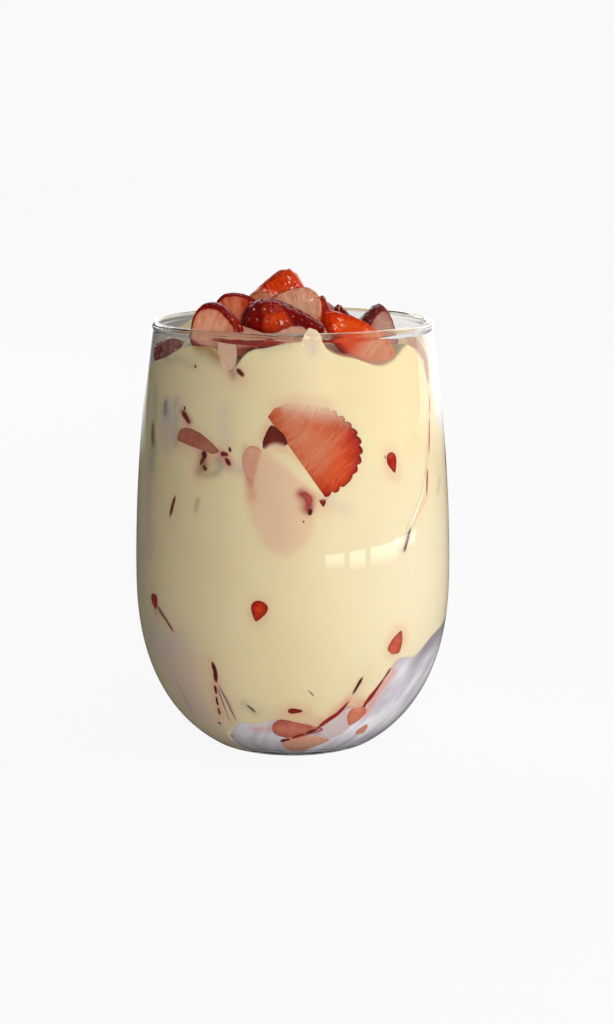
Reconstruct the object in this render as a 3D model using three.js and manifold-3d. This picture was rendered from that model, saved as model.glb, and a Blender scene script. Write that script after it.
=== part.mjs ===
// Vanilla cream with strawberries in a stemless glass.
//
// A barrel-shaped clear glass is filled to just under its rim with thick pale-yellow vanilla cream.
// Cut strawberries are heaped on top, and more slices and scraps of fruit are pressed between the
// cream and the wall, where they show through the glass.
//
// Millimetres, +Z up. The origin is the middle of the foot, on the surface the glass stands on.
// The front of the glass faces -Y, and angles round the wall are counted from there towards +X.

import * as THREE from "three";
import Module from "manifold-3d";
import { mergeVertices } from "three/addons/utils/BufferGeometryUtils.js";

const wasm = await Module();
wasm.setup();

const rad = THREE.MathUtils.degToRad;
const smooth = THREE.MathUtils.smoothstep;

// The glass: a stemless tumbler, 124 mm tall and 92.6 mm across its belly.
const GLASS_HEIGHT = 124;
const BELLY_RADIUS = 46.3;
const BELLY_Z = 50;
const BELLY_DEPTH = 56;
const BELLY_POWER = 2.34;
const RIM_RADIUS = 40.2;
const TAPER_POWER = 1.87;
const WALL = 1.7;
const BEAD_HEIGHT = 2.8;
const BEAD_PROUD = 0.4;
const FOOT_RADIUS = 23.6;
const PUNT_RADIUS = 15.5;
const PUNT_DEPTH = 0.9;
const FLOOR_Z = 4;
const FLOOR_ROUND = 5;
const FLOOR_POWER = 3.6;
const GLASS_SIDES = 44;

// What lies against the glass keeps a gap to it, and a pocket in the cream is this much larger than its
// fruit. SLACK is how far a face may be moved to leave out triangles.
const GAP = 0.42;
const POCKET = 0.38;
const SLACK = 0.15;

// The cream: its edge at the wall, the mound under the fruit, and the hollow at the lower right.
const CREAM_EDGE_Z = 119.8;
const MOUND_Z = 125;
const MOUND_RADIUS = 30;
const CREAM_SIDES = 48;
const HOLLOW_DEPTH = 7;

const FINISH = {
  glass: { color: 0xf4f7f7, roughness: 0.03, metalness: 0, transparent: true, opacity: 0.3 },
  cream: { color: 0xeadfb4, roughness: 0.45, metalness: 0 },
  strawberry: { color: 0xd8523a, roughness: 0.35, metalness: 0 },
};

// Radius of the outside of the glass at a height: a cut-off egg below the belly, a gentle taper above it.
function outerRadius(z) {
  if (z < BELLY_Z) {
    const t = (BELLY_Z - z) / BELLY_DEPTH;
    return BELLY_RADIUS * (1 - t ** BELLY_POWER) ** (1 / BELLY_POWER);
  }
  const t = (z - BELLY_Z) / (GLASS_HEIGHT - BELLY_Z);
  return BELLY_RADIUS - (BELLY_RADIUS - RIM_RADIUS) * t ** TAPER_POWER;
}

// Radius of the inside of the glass at a height, before the floor rounds it off.
function wallRadius(z) {
  if (z >= BELLY_Z) return outerRadius(z) - WALL;
  const t = (BELLY_Z - z) / (BELLY_DEPTH - 1.6 * WALL);
  return (BELLY_RADIUS - WALL) * Math.max(1 - t ** BELLY_POWER, 0) ** (1 / BELLY_POWER);
}

// Radius of the inside of the glass, with the rounded corner between its wall and its floor.
function innerRadius(z) {
  const left = 1 - (z - FLOOR_Z) / FLOOR_ROUND;
  const round = left > 0 ? Math.max(1 - left ** FLOOR_POWER, 0) ** (1 / FLOOR_POWER) : 1;
  return wallRadius(z) * round;
}

// Radius of the space left for the filling: the inside of the glass less the gap, at the floor too.
function fillRadius(z) {
  return innerRadius(z - GAP) - GAP;
}

// Heights up the rounded floor corner, closest together where it is flattest.
function floorHeights(base, steps) {
  return Array.from({ length: steps }, (_, i) => {
    const angle = ((i + 1) / steps) * (Math.PI / 2);
    return base + FLOOR_ROUND * (1 - Math.cos(angle) ** (2 / FLOOR_POWER));
  });
}

// A closed surface over a stack of rings, each end closed by a fan to its own middle point.
function closedSurface(rings, firstPole, lastPole) {
  const sides = rings[0].length;
  const points = [firstPole, ...rings.flat(), lastPole];
  const last = points.length - 1;
  const faces = [];
  const at = (row, i) => 1 + row * sides + (i % sides);
  for (let i = 0; i < sides; i++) {
    faces.push(0, at(0, i + 1), at(0, i));
    faces.push(last, at(rings.length - 1, i), at(rings.length - 1, i + 1));
    for (let row = 0; row < rings.length - 1; row++) {
      faces.push(at(row, i), at(row, i + 1), at(row + 1, i));
      faces.push(at(row, i + 1), at(row + 1, i + 1), at(row + 1, i));
    }
  }
  const geometry = new THREE.BufferGeometry().setFromPoints(points);
  geometry.setIndex(faces);
  return geometry;
}

// A geometry as a solid for cutting, and a solid as a geometry.
function solidOf(geometry) {
  const bare = new THREE.BufferGeometry();
  bare.setAttribute("position", geometry.getAttribute("position"));
  bare.setIndex(geometry.index);
  const merged = mergeVertices(bare, 1e-4);
  const vertProperties = merged.attributes.position.array;
  const triVerts = new Uint32Array(merged.index.array);
  return new wasm.Manifold(new wasm.Mesh({ numProp: 3, vertProperties, triVerts }));
}

function geometryOf(solid) {
  const mesh = solid.getMesh();
  const geometry = new THREE.BufferGeometry();
  geometry.setAttribute("position", new THREE.BufferAttribute(new Float32Array(mesh.vertProperties), 3));
  geometry.setIndex(new THREE.BufferAttribute(new Uint32Array(mesh.triVerts), 1));
  return geometry;
}

// The glass, turned from one profile: punt, foot ring, belly, beaded rim, and the inside down to the floor.
function glassGeometry() {
  const profile = [new THREE.Vector2(0, PUNT_DEPTH), new THREE.Vector2(PUNT_RADIUS * 0.8, PUNT_DEPTH * 0.8)];
  profile.push(new THREE.Vector2(PUNT_RADIUS, 0), new THREE.Vector2(FOOT_RADIUS, 0));
  const outerZ = [0.6, 2.2, 5, 9, 15, 23, 34, 47, 62, 82, 102, GLASS_HEIGHT - BEAD_HEIGHT];
  for (const z of outerZ) profile.push(new THREE.Vector2(outerRadius(z), z));
  const beadRadius = (outerRadius(GLASS_HEIGHT) - wallRadius(GLASS_HEIGHT) + BEAD_PROUD) / 2;
  const beadMiddle = outerRadius(GLASS_HEIGHT) + BEAD_PROUD - beadRadius;
  profile.push(new THREE.Vector2(beadMiddle + beadRadius, GLASS_HEIGHT - BEAD_HEIGHT * 0.75));
  for (let i = 0; i <= 4; i++) {
    const angle = (i / 4) * Math.PI;
    const z = GLASS_HEIGHT - beadRadius + beadRadius * Math.sin(angle);
    profile.push(new THREE.Vector2(beadMiddle + beadRadius * Math.cos(angle), z));
  }
  const innerZ = [112, 96, 80, 64, 51, 42, 34, 27, 21, 16, 12, ...floorHeights(FLOOR_Z, 6).reverse()];
  for (const z of innerZ) profile.push(new THREE.Vector2(innerRadius(z), z));
  profile.push(new THREE.Vector2(0, FLOOR_Z));
  const geometry = new THREE.LatheGeometry(profile, GLASS_SIDES);
  geometry.rotateX(Math.PI / 2);
  return geometry;
}

// A smooth bump of height 1 at an angle round the wall, in degrees, that dies away over a width.
function bumpAt(phi, middle, width) {
  const away = ((phi - middle + 540) % 360) - 180;
  return Math.exp(-((away / width) ** 2));
}

// Peaks and dips of the cream's edge at the wall, where fruit was pushed in or cream ran down:
// each has its angle, its width in degrees and its height.
const EDGE_BUMPS = [
  [-84, 20, -9],
  [-24.5, 5, -6],
  [2, 12, 1.6],
  [9, 2.6, 3.5],
  [18, 8, -2],
  [37, 14, -5.4],
  [53, 6, 1.4],
  [77, 12, -27],
  [128, 14, -4.5],
  [196, 14, -5],
  [228, 8, 2],
];

// The same for the height below which the cream stands back from the glass.
const HOLLOW_Z = 10;
const HOLLOW_BUMPS = [
  [4, 16, 5],
  [22, 7, 5],
  [42, 8, 4],
  [82, 40, 36],
  [205, 26, 7],
];

function sumOfBumps(bumps, phi) {
  return bumps.reduce((sum, [middle, width, size]) => sum + size * bumpAt(phi, middle, width), 0);
}

// Height of the cream's edge at the wall.
function creamEdge(phi) {
  const waves = 0.5 * Math.sin(rad(3 * phi + 40)) + 0.4 * Math.sin(rad(7 * phi));
  return CREAM_EDGE_Z + waves + sumOfBumps(EDGE_BUMPS, phi);
}

// Height below which the cream stands back from the glass: highest at the lower right.
function hollowTop(phi) {
  return HOLLOW_Z + 2.2 * Math.sin(rad(2 * phi + 150)) + sumOfBumps(HOLLOW_BUMPS, phi);
}

// Radius of the cream's side at an angle and a height.
function creamRadius(phi, z) {
  const back = smooth(hollowTop(phi) - z, 0, HOLLOW_DEPTH);
  return Math.max(fillRadius(z) - HOLLOW_DEPTH * back, 0.5 * fillRadius(z));
}

// Height of the cream's top under the fruit.
function creamTop(phi, share) {
  const mound = 1 - smooth(share * RIM_RADIUS, 0, MOUND_RADIUS);
  const edge = share ** 3;
  return edge * creamEdge(phi) + (1 - edge) * (CREAM_EDGE_Z - 1) + (MOUND_Z - CREAM_EDGE_Z + 1) * mound;
}

function wallPoint(phi, radius, z) {
  return new THREE.Vector3(radius * Math.sin(rad(phi)), -radius * Math.cos(rad(phi)), z);
}

function creamGeometry() {
  const around = Array.from({ length: CREAM_SIDES }, (_, i) => (360 * i) / CREAM_SIDES);
  const bottom = FLOOR_Z + GAP;
  const low = bottom + FLOOR_ROUND;
  const rings = [];
  for (const z of floorHeights(bottom, 4)) {
    rings.push(around.map((phi) => wallPoint(phi, creamRadius(phi, z), z)));
  }
  const climb = [0.03, 0.07, 0.12, 0.18, 0.25, 0.34, 0.46, 0.6, 0.76, 0.9, 1];
  for (const share of climb) {
    rings.push(around.map((phi) => {
      const z = low + share * (creamEdge(phi) - low);
      return wallPoint(phi, creamRadius(phi, z), z);
    }));
  }
  for (const share of [0.93, 0.82, 0.66, 0.48, 0.28]) {
    rings.push(around.map((phi) => {
      const edge = creamRadius(phi, creamEdge(phi));
      return wallPoint(phi, share * edge, creamTop(phi, share));
    }));
  }
  return closedSurface(rings, new THREE.Vector3(0, 0, bottom), new THREE.Vector3(0, 0, MOUND_Z));
}

// Half-width of a strawberry, as a share of its greatest, from the stem end (0) to the tip (1). Where a
// piece is cut across, its corners are rounded over CUT_ROUND.
const SHOULDER = 0.62;
const FULLNESS = 0.72;
const CUT_ROUND = 0.9;
const berryShape = (t) => Math.sin(Math.PI * t ** SHOULDER) ** FULLNESS;

// Where along the berry its half-width passes a share: once near the stem end and once near the tip.
function berryEnds(share) {
  const angle = Math.asin(Math.min(share, 0.999) ** (1 / FULLNESS)) / Math.PI;
  return [angle ** (1 / SHOULDER), (1 - angle) ** (1 / SHOULDER)];
}

// A piece cut from a strawberry, in its own frame: X runs from stem end to tip, Z is square to the
// two main cuts, which lie at `from` and `to`. `left` and `right` are further lengthwise cuts, at those
// distances either side of the axis when the `to` cut is seen from the front with the tip up.
// `start` and `end` are where the piece is cut off along the berry, as shares of its length.
function fruitPiece(piece) {
  const { length, radius, from, to, left = 99, right = 99, start = 0, end = 1, sides = 12, walls = 2 } = piece;
  const shell = 0.985 * radius;
  const cuts = Array.from({ length: walls + 1 }, (_, i) => {
    const offset = from + ((to - from) * i) / walls;
    return Math.max(-shell, Math.min(shell, offset));
  });
  const middle = (start + end) / 2;
  const outline = (offset) => {
    const [first, last] = berryEnds(Math.abs(offset) / radius);
    const [low, high] = [Math.max(first, start), Math.min(last, end)];
    return Array.from({ length: sides }, (_, i) => {
      const angle = (2 * Math.PI * i) / sides;
      const t = low + ((high - low) * (1 - Math.cos(angle))) / 2;
      const half = Math.sqrt(Math.max((radius * berryShape(t)) ** 2 - offset ** 2, 0));
      const inside = Math.min(t - start, end - t) * length;
      const trimmed = start > 0 || end < 1 ? half * Math.min(1, inside / CUT_ROUND + 0.02) : half;
      const y = Math.sin(angle) < 0 ? Math.min(trimmed, left) : -Math.min(trimmed, right);
      return new THREE.Vector3((t - middle) * length, y, offset);
    });
  };
  const shrink = (ring, share) => {
    const centre = ring.reduce((sum, p) => sum.add(p), new THREE.Vector3()).divideScalar(ring.length);
    return { centre, ring: ring.map((p) => p.clone().lerp(centre, 1 - share)) };
  };
  const rings = cuts.map(outline);
  const first = shrink(rings[0], 0.6);
  const last = shrink(rings[rings.length - 1], 0.6);
  return closedSurface([first.ring, ...rings, last.ring], first.centre, last.centre);
}

// Turns a piece so that its X lies along `axis` and its Z as near as can be to `normal`, and moves it
// to `at`.
function placement(at, axis, normal) {
  const x = new THREE.Vector3(...axis).normalize();
  const y = new THREE.Vector3().crossVectors(new THREE.Vector3(...normal), x).normalize();
  const z = new THREE.Vector3().crossVectors(x, y);
  return new THREE.Matrix4().makeBasis(x, y, z).setPosition(...at);
}

// The same for a piece that lies flat on the wall. `clock` is where its tip points, in degrees from
// straight up and clockwise as seen from outside.
function wallPlacement({ phi, z, clock }) {
  const slope = (fillRadius(z + 1) - fillRadius(z - 1)) / 2;
  const right = new THREE.Vector3(Math.cos(rad(phi)), Math.sin(rad(phi)), 0);
  const up = wallPoint(phi, slope, 1).normalize();
  const out = new THREE.Vector3().crossVectors(right, up);
  const axis = up.clone().multiplyScalar(Math.cos(rad(clock))).addScaledVector(right, Math.sin(rad(clock)));
  return placement(wallPoint(phi, fillRadius(z), z), axis, out);
}

// Presses whatever reaches past the inside of the glass back onto it.
function pressInside(geometry) {
  const p = geometry.attributes.position;
  for (let i = 0; i < p.count; i++) {
    const z = Math.max(p.getZ(i), FLOOR_Z + GAP);
    const limit = fillRadius(Math.min(z, GLASS_HEIGHT));
    const radius = Math.hypot(p.getX(i), p.getY(i));
    const share = radius > limit ? limit / radius : 1;
    p.setXYZ(i, p.getX(i) * share, p.getY(i) * share, z);
  }
  return geometry;
}

// The room a piece takes up: the tightest rounded-out shape that clears it by POCKET on every side.
function pocketOf(geometry) {
  const p = geometry.attributes.position;
  const points = [];
  for (let i = 0; i < p.count; i++) {
    for (let corner = 0; corner < 8; corner++) {
      const [x, y, z] = [1, 2, 4].map((bit) => (corner & bit ? POCKET : -POCKET));
      points.push([p.getX(i) + x, p.getY(i) + y, p.getZ(i) + z]);
    }
  }
  return wasm.Manifold.hull(points).simplify(SLACK);
}

// The heap on top, the pieces in front first: each is trimmed where those before it are in the way.
// `axis` points from stem end to tip and `normal` is the way the `to` cut faces.
const HEAP = [
  {
    name: "heap_right_slice", length: 25.4, radius: 5.9, from: -2.4, to: 2.4, end: 0.93,
    at: [17.8, -25.4, 120.6], axis: [-0.77, 0.1, 0.64], normal: [0.05, -0.93, 0.37],
  },
  {
    name: "heap_left_low_slice", length: 26, radius: 6.5, from: -2, to: 1.5,
    at: [-14.9, -26.4, 120.6], axis: [0.95, -0.25, -0.08], normal: [-0.1, -0.45, 0.89],
  },
  {
    name: "heap_grey_slice", length: 12.5, radius: 4.2, from: -1.4, to: 1.4,
    at: [-0.8, -28.4, 121], axis: [-1, 0, 0.05], normal: [0, -0.8, 0.6],
  },
  {
    name: "heap_seeded_half", length: 26, radius: 7, from: -1, to: 6.9, end: 0.9, walls: 4, sides: 16,
    at: [-2.5, -16.6, 123.6], axis: [0.98, -0.05, -0.18], normal: [0, -0.75, 0.66],
  },
  {
    name: "heap_left_slice", length: 16, radius: 6.4, from: -2, to: 2.6,
    at: [-19.9, -22.6, 123.8], axis: [0.92, -0.2, -0.33], normal: [-0.25, -0.95, 0.15],
  },
  {
    name: "heap_pale_slice", length: 17, radius: 6.4, from: -1.8, to: 1.8,
    at: [-0.1, -8.4, 127.7], axis: [-1, 0, 0.02], normal: [0.05, -0.85, 0.5],
  },
  {
    name: "heap_left_upper_slice", length: 17.5, radius: 7, from: -2.5, to: 2.5,
    at: [-13.6, -12, 125.8], axis: [1, 0.05, 0.08], normal: [-0.1, -0.95, 0.3],
  },
  {
    name: "heap_apex_tip", length: 24, radius: 10.5, from: -3, to: 3.4, start: 0.42, end: 0.97,
    at: [-2.4, -2.6, 132.3], axis: [0.24, 0.1, 1], normal: [0.1, -1, 0.15],
  },
  {
    name: "heap_small_tip", length: 9, radius: 3.3, from: -1.6, to: 1.6,
    at: [7.8, -6.4, 127], axis: [0.2, 0, 1], normal: [0, -1, 0.1],
  },
  {
    name: "heap_right_chunk", length: 15, radius: 7.5, from: -7.4, to: 2.5, walls: 4,
    at: [24.4, -1, 121.2], axis: [0.1, 0.25, 1], normal: [0.72, -0.69, 0],
  },
  {
    name: "heap_dark_scrap", length: 9, radius: 3.4, from: -2, to: 2,
    at: [14, 3, 123.6], axis: [-0.2, 0, 1], normal: [0, -1, 0],
  },
  {
    name: "heap_far_left_half", length: 14, radius: 4.2, from: 0, to: 4.1, walls: 3,
    at: [-33, -15, 116.2], axis: [0.42, -0.86, 0.3], normal: [-0.6, -0.2, 0.77],
  },
  {
    name: "heap_back_half", length: 25, radius: 9.5, from: 0, to: 9.3, walls: 4,
    at: [3.5, 12.5, 122.4], axis: [0.9, 0.35, 0.05], normal: [0, 0.45, 0.89],
  },
  {
    name: "heap_back_left_slice", length: 21, radius: 8.2, from: -2, to: 2,
    at: [-14.5, 7.5, 123.4], axis: [-0.5, 0.75, -0.3], normal: [-0.35, 0.2, 0.9],
  },
  {
    name: "heap_back_right_slice", length: 20, radius: 7.6, from: -1.8, to: 2,
    at: [19.5, 15.5, 119.6], axis: [0.6, -0.6, -0.2], normal: [0.3, 0.35, 0.88],
  },
  {
    name: "heap_back_low_slice", length: 22, radius: 7.8, from: -2, to: 1.8,
    at: [-6.5, 25.5, 118.8], axis: [-1, 0.1, -0.05], normal: [0.05, 0.6, 0.8],
  },
];

// Fruit pressed against the glass, and the slices that lie in the bottom of it: `thick` millimetres deep,
// with one cut flat on the glass at an angle round it and a height.
const AT_WALL = [
  { name: "wall_big_slice", length: 35, radius: 11.4, thick: 4, end: 0.82, left: 5.4, phi: 7.7, z: 93.2,
    clock: -44 },
  { name: "wall_veiled_slice", length: 26, radius: 8, thick: 3.5, phi: -4, z: 79, clock: -10 },
  { name: "wall_dark_scrap", length: 8, radius: 3.4, thick: 2.5, start: 0.14, phi: -6.4, z: 96, clock: -12 },
  { name: "wall_flap_scrap", length: 13, radius: 3, thick: 1.8, phi: -13.6, z: 87.2, clock: 175 },
  { name: "wall_left_slice", length: 15.5, radius: 3.4, thick: 3, right: 1.2, phi: -37.2, z: 93, clock: 101 },
  { name: "wall_left_scrap_upper", length: 5.2, radius: 1.9, thick: 1.5, phi: -44.4, z: 100.4, clock: 150 },
  { name: "wall_left_scrap_lower", length: 6.6, radius: 2.3, thick: 2, phi: -34.3, z: 87.4, clock: 185 },
  { name: "wall_left_scrap_right", length: 5.2, radius: 1.9, thick: 1.6, phi: -24, z: 90.1, clock: 150 },
  { name: "wall_left_sliver", length: 6.6, radius: 1.2, thick: 1, phi: -47.8, z: 74.8, clock: 15 },
  { name: "wall_right_drop", length: 6, radius: 1.7, thick: 1.4, phi: 39.4, z: 87.6, clock: 165 },
  { name: "wall_middle_scrap", length: 5, radius: 1.3, thick: 1.2, phi: 10.9, z: 79.6, clock: 172 },
  { name: "wall_front_drop", length: 6, radius: 2.3, thick: 1.8, phi: -11.6, z: 48.2, clock: 195 },
  { name: "wall_right_wedge", length: 8, radius: 2.6, thick: 1.8, start: 0.1, phi: 41.2, z: 36.6, clock: 22 },
  { name: "wall_far_left_scrap", length: 4.6, radius: 1.9, thick: 1.5, phi: -59.4, z: 45.7, clock: 165 },
  { name: "low_left_slice", length: 22, radius: 6.6, thick: 3, right: 2, phi: -41, z: 21.5, clock: 187 },
  { name: "low_front_scrap", length: 4.2, radius: 1, thick: 1, phi: 1.4, z: 18.8, clock: 90 },
  { name: "low_right_sliver", length: 6.4, radius: 1, thick: 1, phi: 25.6, z: 24.9, clock: 28 },
  { name: "bottom_front_slice", length: 14.5, radius: 4.2, thick: 3, phi: 2.7, z: 12.6, clock: 96 },
  { name: "bottom_orange_slice", length: 13.5, radius: 4.4, thick: 2.4, phi: 7.5, z: 7.6, clock: 82 },
  { name: "bottom_salmon_scrap", length: 7.5, radius: 3, thick: 2, phi: 28.4, z: 15.5, clock: 190 },
  { name: "bottom_pale_slice", length: 14, radius: 4.8, thick: 3, phi: 22.2, z: 14.4, clock: 39 },
  { name: "bottom_edge_slice", length: 21, radius: 6, thick: 3, right: 3, phi: 45.6, z: 19.6, clock: 13 },
  { name: "bottom_corner_scrap", length: 4.6, radius: 1.8, thick: 1.5, phi: 36.6, z: 10.2, clock: 10 },
  { name: "bottom_far_slice", length: 20, radius: 7.4, thick: 3.4, phi: 66, z: 18.5, clock: -16 },
  { name: "side_right_slice", length: 20, radius: 7.8, thick: 3.4, phi: 96, z: 84, clock: 100 },
  { name: "side_left_slice", length: 23, radius: 8.6, thick: 3.6, phi: -98, z: 66, clock: 28 },
  { name: "back_wall_slice", length: 27, radius: 10, thick: 4, right: 6, phi: 152, z: 88, clock: 40 },
  { name: "back_low_slice", length: 23, radius: 8.4, thick: 3.6, phi: 212, z: 56, clock: -58 },
  { name: "back_left_scrap", length: 8, radius: 2.8, thick: 2, phi: 232, z: 97, clock: 130 },
  { name: "back_scrap", length: 7, radius: 2.4, thick: 1.8, phi: 184, z: 76, clock: 200 },
  { name: "back_right_drop", length: 6.4, radius: 2.2, thick: 1.8, phi: 118, z: 50, clock: 170 },
  { name: "back_low_drop", length: 6, radius: 2.1, thick: 1.6, phi: 172, z: 38, clock: 20 },
  { name: "bottom_back_slice", length: 19, radius: 6.6, thick: 3, phi: 146, z: 14, clock: 80 },
  { name: "bottom_back_left_slice", length: 17, radius: 6, thick: 3, phi: 216, z: 15, clock: -30 },
  { name: "heap_notch_scrap", length: 11, radius: 3, thick: 2.2, phi: -25.6, z: 116.8, clock: 168 },
];

function meshOf(name, geometry, finish) {
  const mesh = new THREE.Mesh(geometry, new THREE.MeshStandardMaterial(finish));
  mesh.name = name;
  return mesh;
}

// A piece at the wall, cut from `thick` behind the glass to flat on it. Small scraps get fewer sides.
function wallPiece(piece) {
  const sides = piece.length < 9 ? 8 : piece.length > 25 ? 18 : 12;
  const shape = fruitPiece({ ...piece, from: -piece.thick, to: 0, sides, walls: 1 });
  return shape.applyMatrix4(wallPlacement(piece));
}

function heapPiece(piece) {
  return fruitPiece(piece).applyMatrix4(placement(piece.at, piece.axis, piece.normal));
}

// The largest of the bodies a cut leaves.
function largest(solid) {
  return solid.decompose().sort((a, b) => b.volume() - a.volume())[0];
}

// Each piece is trimmed by the room of those placed before it, and the cream is cut away round them all.
const wholeFruit = [
  ...AT_WALL.map((piece) => ({ name: piece.name, layer: "at_wall", geometry: wallPiece(piece) })),
  ...HEAP.map((piece) => ({ name: piece.name, layer: "heap", geometry: heapPiece(piece) })),
];
const fruit = [];
for (const { name, layer, geometry } of wholeFruit) {
  const body = fruit.reduce((left, other) => left.subtract(other.pocket), solidOf(pressInside(geometry)));
  fruit.push({ name, layer, body: largest(body.simplify(SLACK)), pocket: pocketOf(geometry) });
}
const cream = fruit.reduce((left, { pocket }) => left.subtract(pocket), solidOf(creamGeometry()));

const part = new THREE.Group();
part.name = "vanilla_cream_with_strawberries";
const contents = new THREE.Group();
contents.name = "contents";
part.add(contents);
part.add(meshOf("glass", glassGeometry(), FINISH.glass));
contents.add(meshOf("cream", geometryOf(largest(cream.simplify(SLACK))), FINISH.cream));
for (const layer of ["at_wall", "heap"]) {
  const pieces = new THREE.Group();
  pieces.name = layer;
  contents.add(pieces);
  for (const piece of fruit.filter((other) => other.layer === layer)) {
    pieces.add(meshOf(piece.name, geometryOf(piece.body), FINISH.strawberry));
  }
}

export default part;
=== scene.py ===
# %% [markdown]
# Vanilla cream with strawberries, in a stemless glass.
#
# The real thing is a clear barrel-shaped glass filled to its rim with thick pale-yellow cream. Cut
# strawberries are heaped on top, and more slices are pressed between the cream and the glass, where the
# light finds them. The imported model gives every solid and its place. This lesson dresses each one in turn:
# the glass, the cream, the fruit, its seeds, and the small stains and crumbs that make food look like food.

import math

import bpy
import numpy as np
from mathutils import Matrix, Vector


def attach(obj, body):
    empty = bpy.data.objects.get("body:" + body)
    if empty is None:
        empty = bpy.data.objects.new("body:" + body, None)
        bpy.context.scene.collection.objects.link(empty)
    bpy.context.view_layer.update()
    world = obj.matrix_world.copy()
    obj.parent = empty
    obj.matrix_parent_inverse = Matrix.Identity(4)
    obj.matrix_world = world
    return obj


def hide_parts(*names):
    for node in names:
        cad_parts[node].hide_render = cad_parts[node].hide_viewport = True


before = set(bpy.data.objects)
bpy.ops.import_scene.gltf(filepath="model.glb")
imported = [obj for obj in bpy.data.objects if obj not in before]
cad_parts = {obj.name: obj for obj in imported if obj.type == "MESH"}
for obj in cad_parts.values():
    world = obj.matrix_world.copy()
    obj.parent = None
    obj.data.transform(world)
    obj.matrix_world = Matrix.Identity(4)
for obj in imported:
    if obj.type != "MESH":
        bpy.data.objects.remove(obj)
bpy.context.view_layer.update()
MM = 0.001

# %% [markdown]
# First the camera, because everything is judged through it. The photograph looks slightly down on the glass
# from about half a metre away. A real lens that close shows the rim as an ellipse wider than a drawing
# would, so the distance matters as much as the angle.

# %% Camera at the photograph's place
CAMERA_AT = (0.0042, -0.560, 0.1803)
CAMERA_PITCH = 11.435
LENS, SENSOR = 68.04, 36.0

camera_data = bpy.data.cameras.new("camera")
camera_data.lens, camera_data.sensor_width = LENS, SENSOR
camera = bpy.data.objects.new("camera", camera_data)
camera.location = CAMERA_AT
camera.rotation_euler = (math.radians(90 - CAMERA_PITCH), 0, 0)
bpy.context.scene.collection.objects.link(camera)
bpy.context.scene.camera = camera

# %% [markdown]
# Every piece below is a closed surface of two parameters: one runs round a ring, the other steps from ring
# to ring, and each end is closed by a fan of triangles to a pole. Whole grids are worked out as arrays, so
# that no line of code ever visits one vertex. A surface here is a small dictionary of points, faces and the
# values that its material will read, such as how far below the skin a point lies.


# %% Surfaces from grids
def closed_surface(rings, first_pole, last_pole, **values):
    """Joins rings (rows x sides x 3) into a closed surface: four-sided faces between neighbouring rings,
    and a fan at each pole. A value at a pole is the mean of its ring."""
    rows, sides = rings.shape[:2]
    row, side = np.meshgrid(np.arange(rows - 1), np.arange(sides), indexing="ij")
    after = (side + 1) % sides
    here, above = row * sides, (row + 1) * sides
    quads = np.stack([here + side, here + after, above + after, above + side], axis=-1)
    one, two = np.arange(sides), (np.arange(sides) + 1) % sides
    top = (rows - 1) * sides
    first_fan = np.stack([np.full(sides, rows * sides), two, one], axis=-1)
    last_fan = np.stack([np.full(sides, rows * sides + 1), top + one, top + two], axis=-1)
    surface = {
        "points": np.concatenate([rings.reshape(-1, 3), [first_pole], [last_pole]]),
        "quads": quads.reshape(-1, 4),
        "fans": np.concatenate([first_fan, last_fan]),
        "values": {},
    }
    for name, grid in values.items():
        grid = np.broadcast_to(grid, rings.shape[:2] + grid.shape[2:])
        flat = grid.reshape((rows * sides,) + grid.shape[2:])
        ends = np.stack([grid[0].mean(axis=0), grid[-1].mean(axis=0)])
        surface["values"][name] = np.concatenate([flat, ends])
    return surface


def joined(surfaces):
    """One surface holding several, with the corner numbers of each moved past those before it."""
    starts = np.cumsum([0] + [len(s["points"]) for s in surfaces[:-1]])
    return {
        "points": np.concatenate([s["points"] for s in surfaces]),
        "quads": np.concatenate([s["quads"] + start for s, start in zip(surfaces, starts)]),
        "fans": np.concatenate([s["fans"] + start for s, start in zip(surfaces, starts)]),
        "values": {k: np.concatenate([s["values"][k] for s in surfaces]) for k in surfaces[0]["values"]},
    }


def add_piece(name, surface, material, nodes=()):
    """Makes a mesh object of a surface given in millimetres. It rides on the body and stands for
    `nodes`."""
    mesh = bpy.data.meshes.new(name)
    corners = np.concatenate([surface["quads"].ravel(), surface["fans"].ravel()]).astype(np.int32)
    fours, threes = len(surface["quads"]), len(surface["fans"])
    starts = np.concatenate([np.arange(fours) * 4, fours * 4 + np.arange(threes) * 3]).astype(np.int32)
    mesh.vertices.add(len(surface["points"]))
    mesh.vertices.foreach_set("co", (surface["points"] * MM).ravel())
    mesh.loops.add(len(corners))
    mesh.loops.foreach_set("vertex_index", corners)
    mesh.polygons.add(len(starts))
    mesh.polygons.foreach_set("loop_start", starts)
    mesh.polygons.foreach_set("use_smooth", np.ones(len(starts), dtype=bool))
    mesh.update(calc_edges=True)
    for label, values in surface["values"].items():
        kind, field = ("FLOAT_VECTOR", "vector") if values.ndim == 2 else ("FLOAT", "value")
        layer = mesh.attributes.new(label, kind, "POINT")
        layer.data.foreach_set(field, values.astype(np.float32).ravel())
    mesh.materials.append(material)
    piece = bpy.data.objects.new(name, mesh)
    bpy.context.scene.collection.objects.link(piece)
    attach(piece, "root")
    if nodes:
        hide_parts(*nodes)
    return piece


def smooth(x, low, high):
    """Rises from 0 at `low` to 1 at `high` along a soft S curve."""
    t = np.clip((x - low) / (high - low), 0, 1)
    return t * t * (3 - 2 * t)


def ripple(x, y, seed):
    """Soft irregular waves between about -1 and 1: a sum of sines that run in different directions, each
    one shorter and weaker than the last."""
    turn = seed * 1.7
    waves = np.sin(0.9 * x + 0.5 * y + turn) + 0.8 * np.sin(1.3 * y - 0.8 * x + 2.1 * turn)
    waves = waves + 0.55 * np.sin(2.3 * x - 1.1 * y + 3.3 * turn) + 0.4 * np.sin(3.1 * y + 1.9 * x - turn)
    return waves / 2.2


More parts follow.
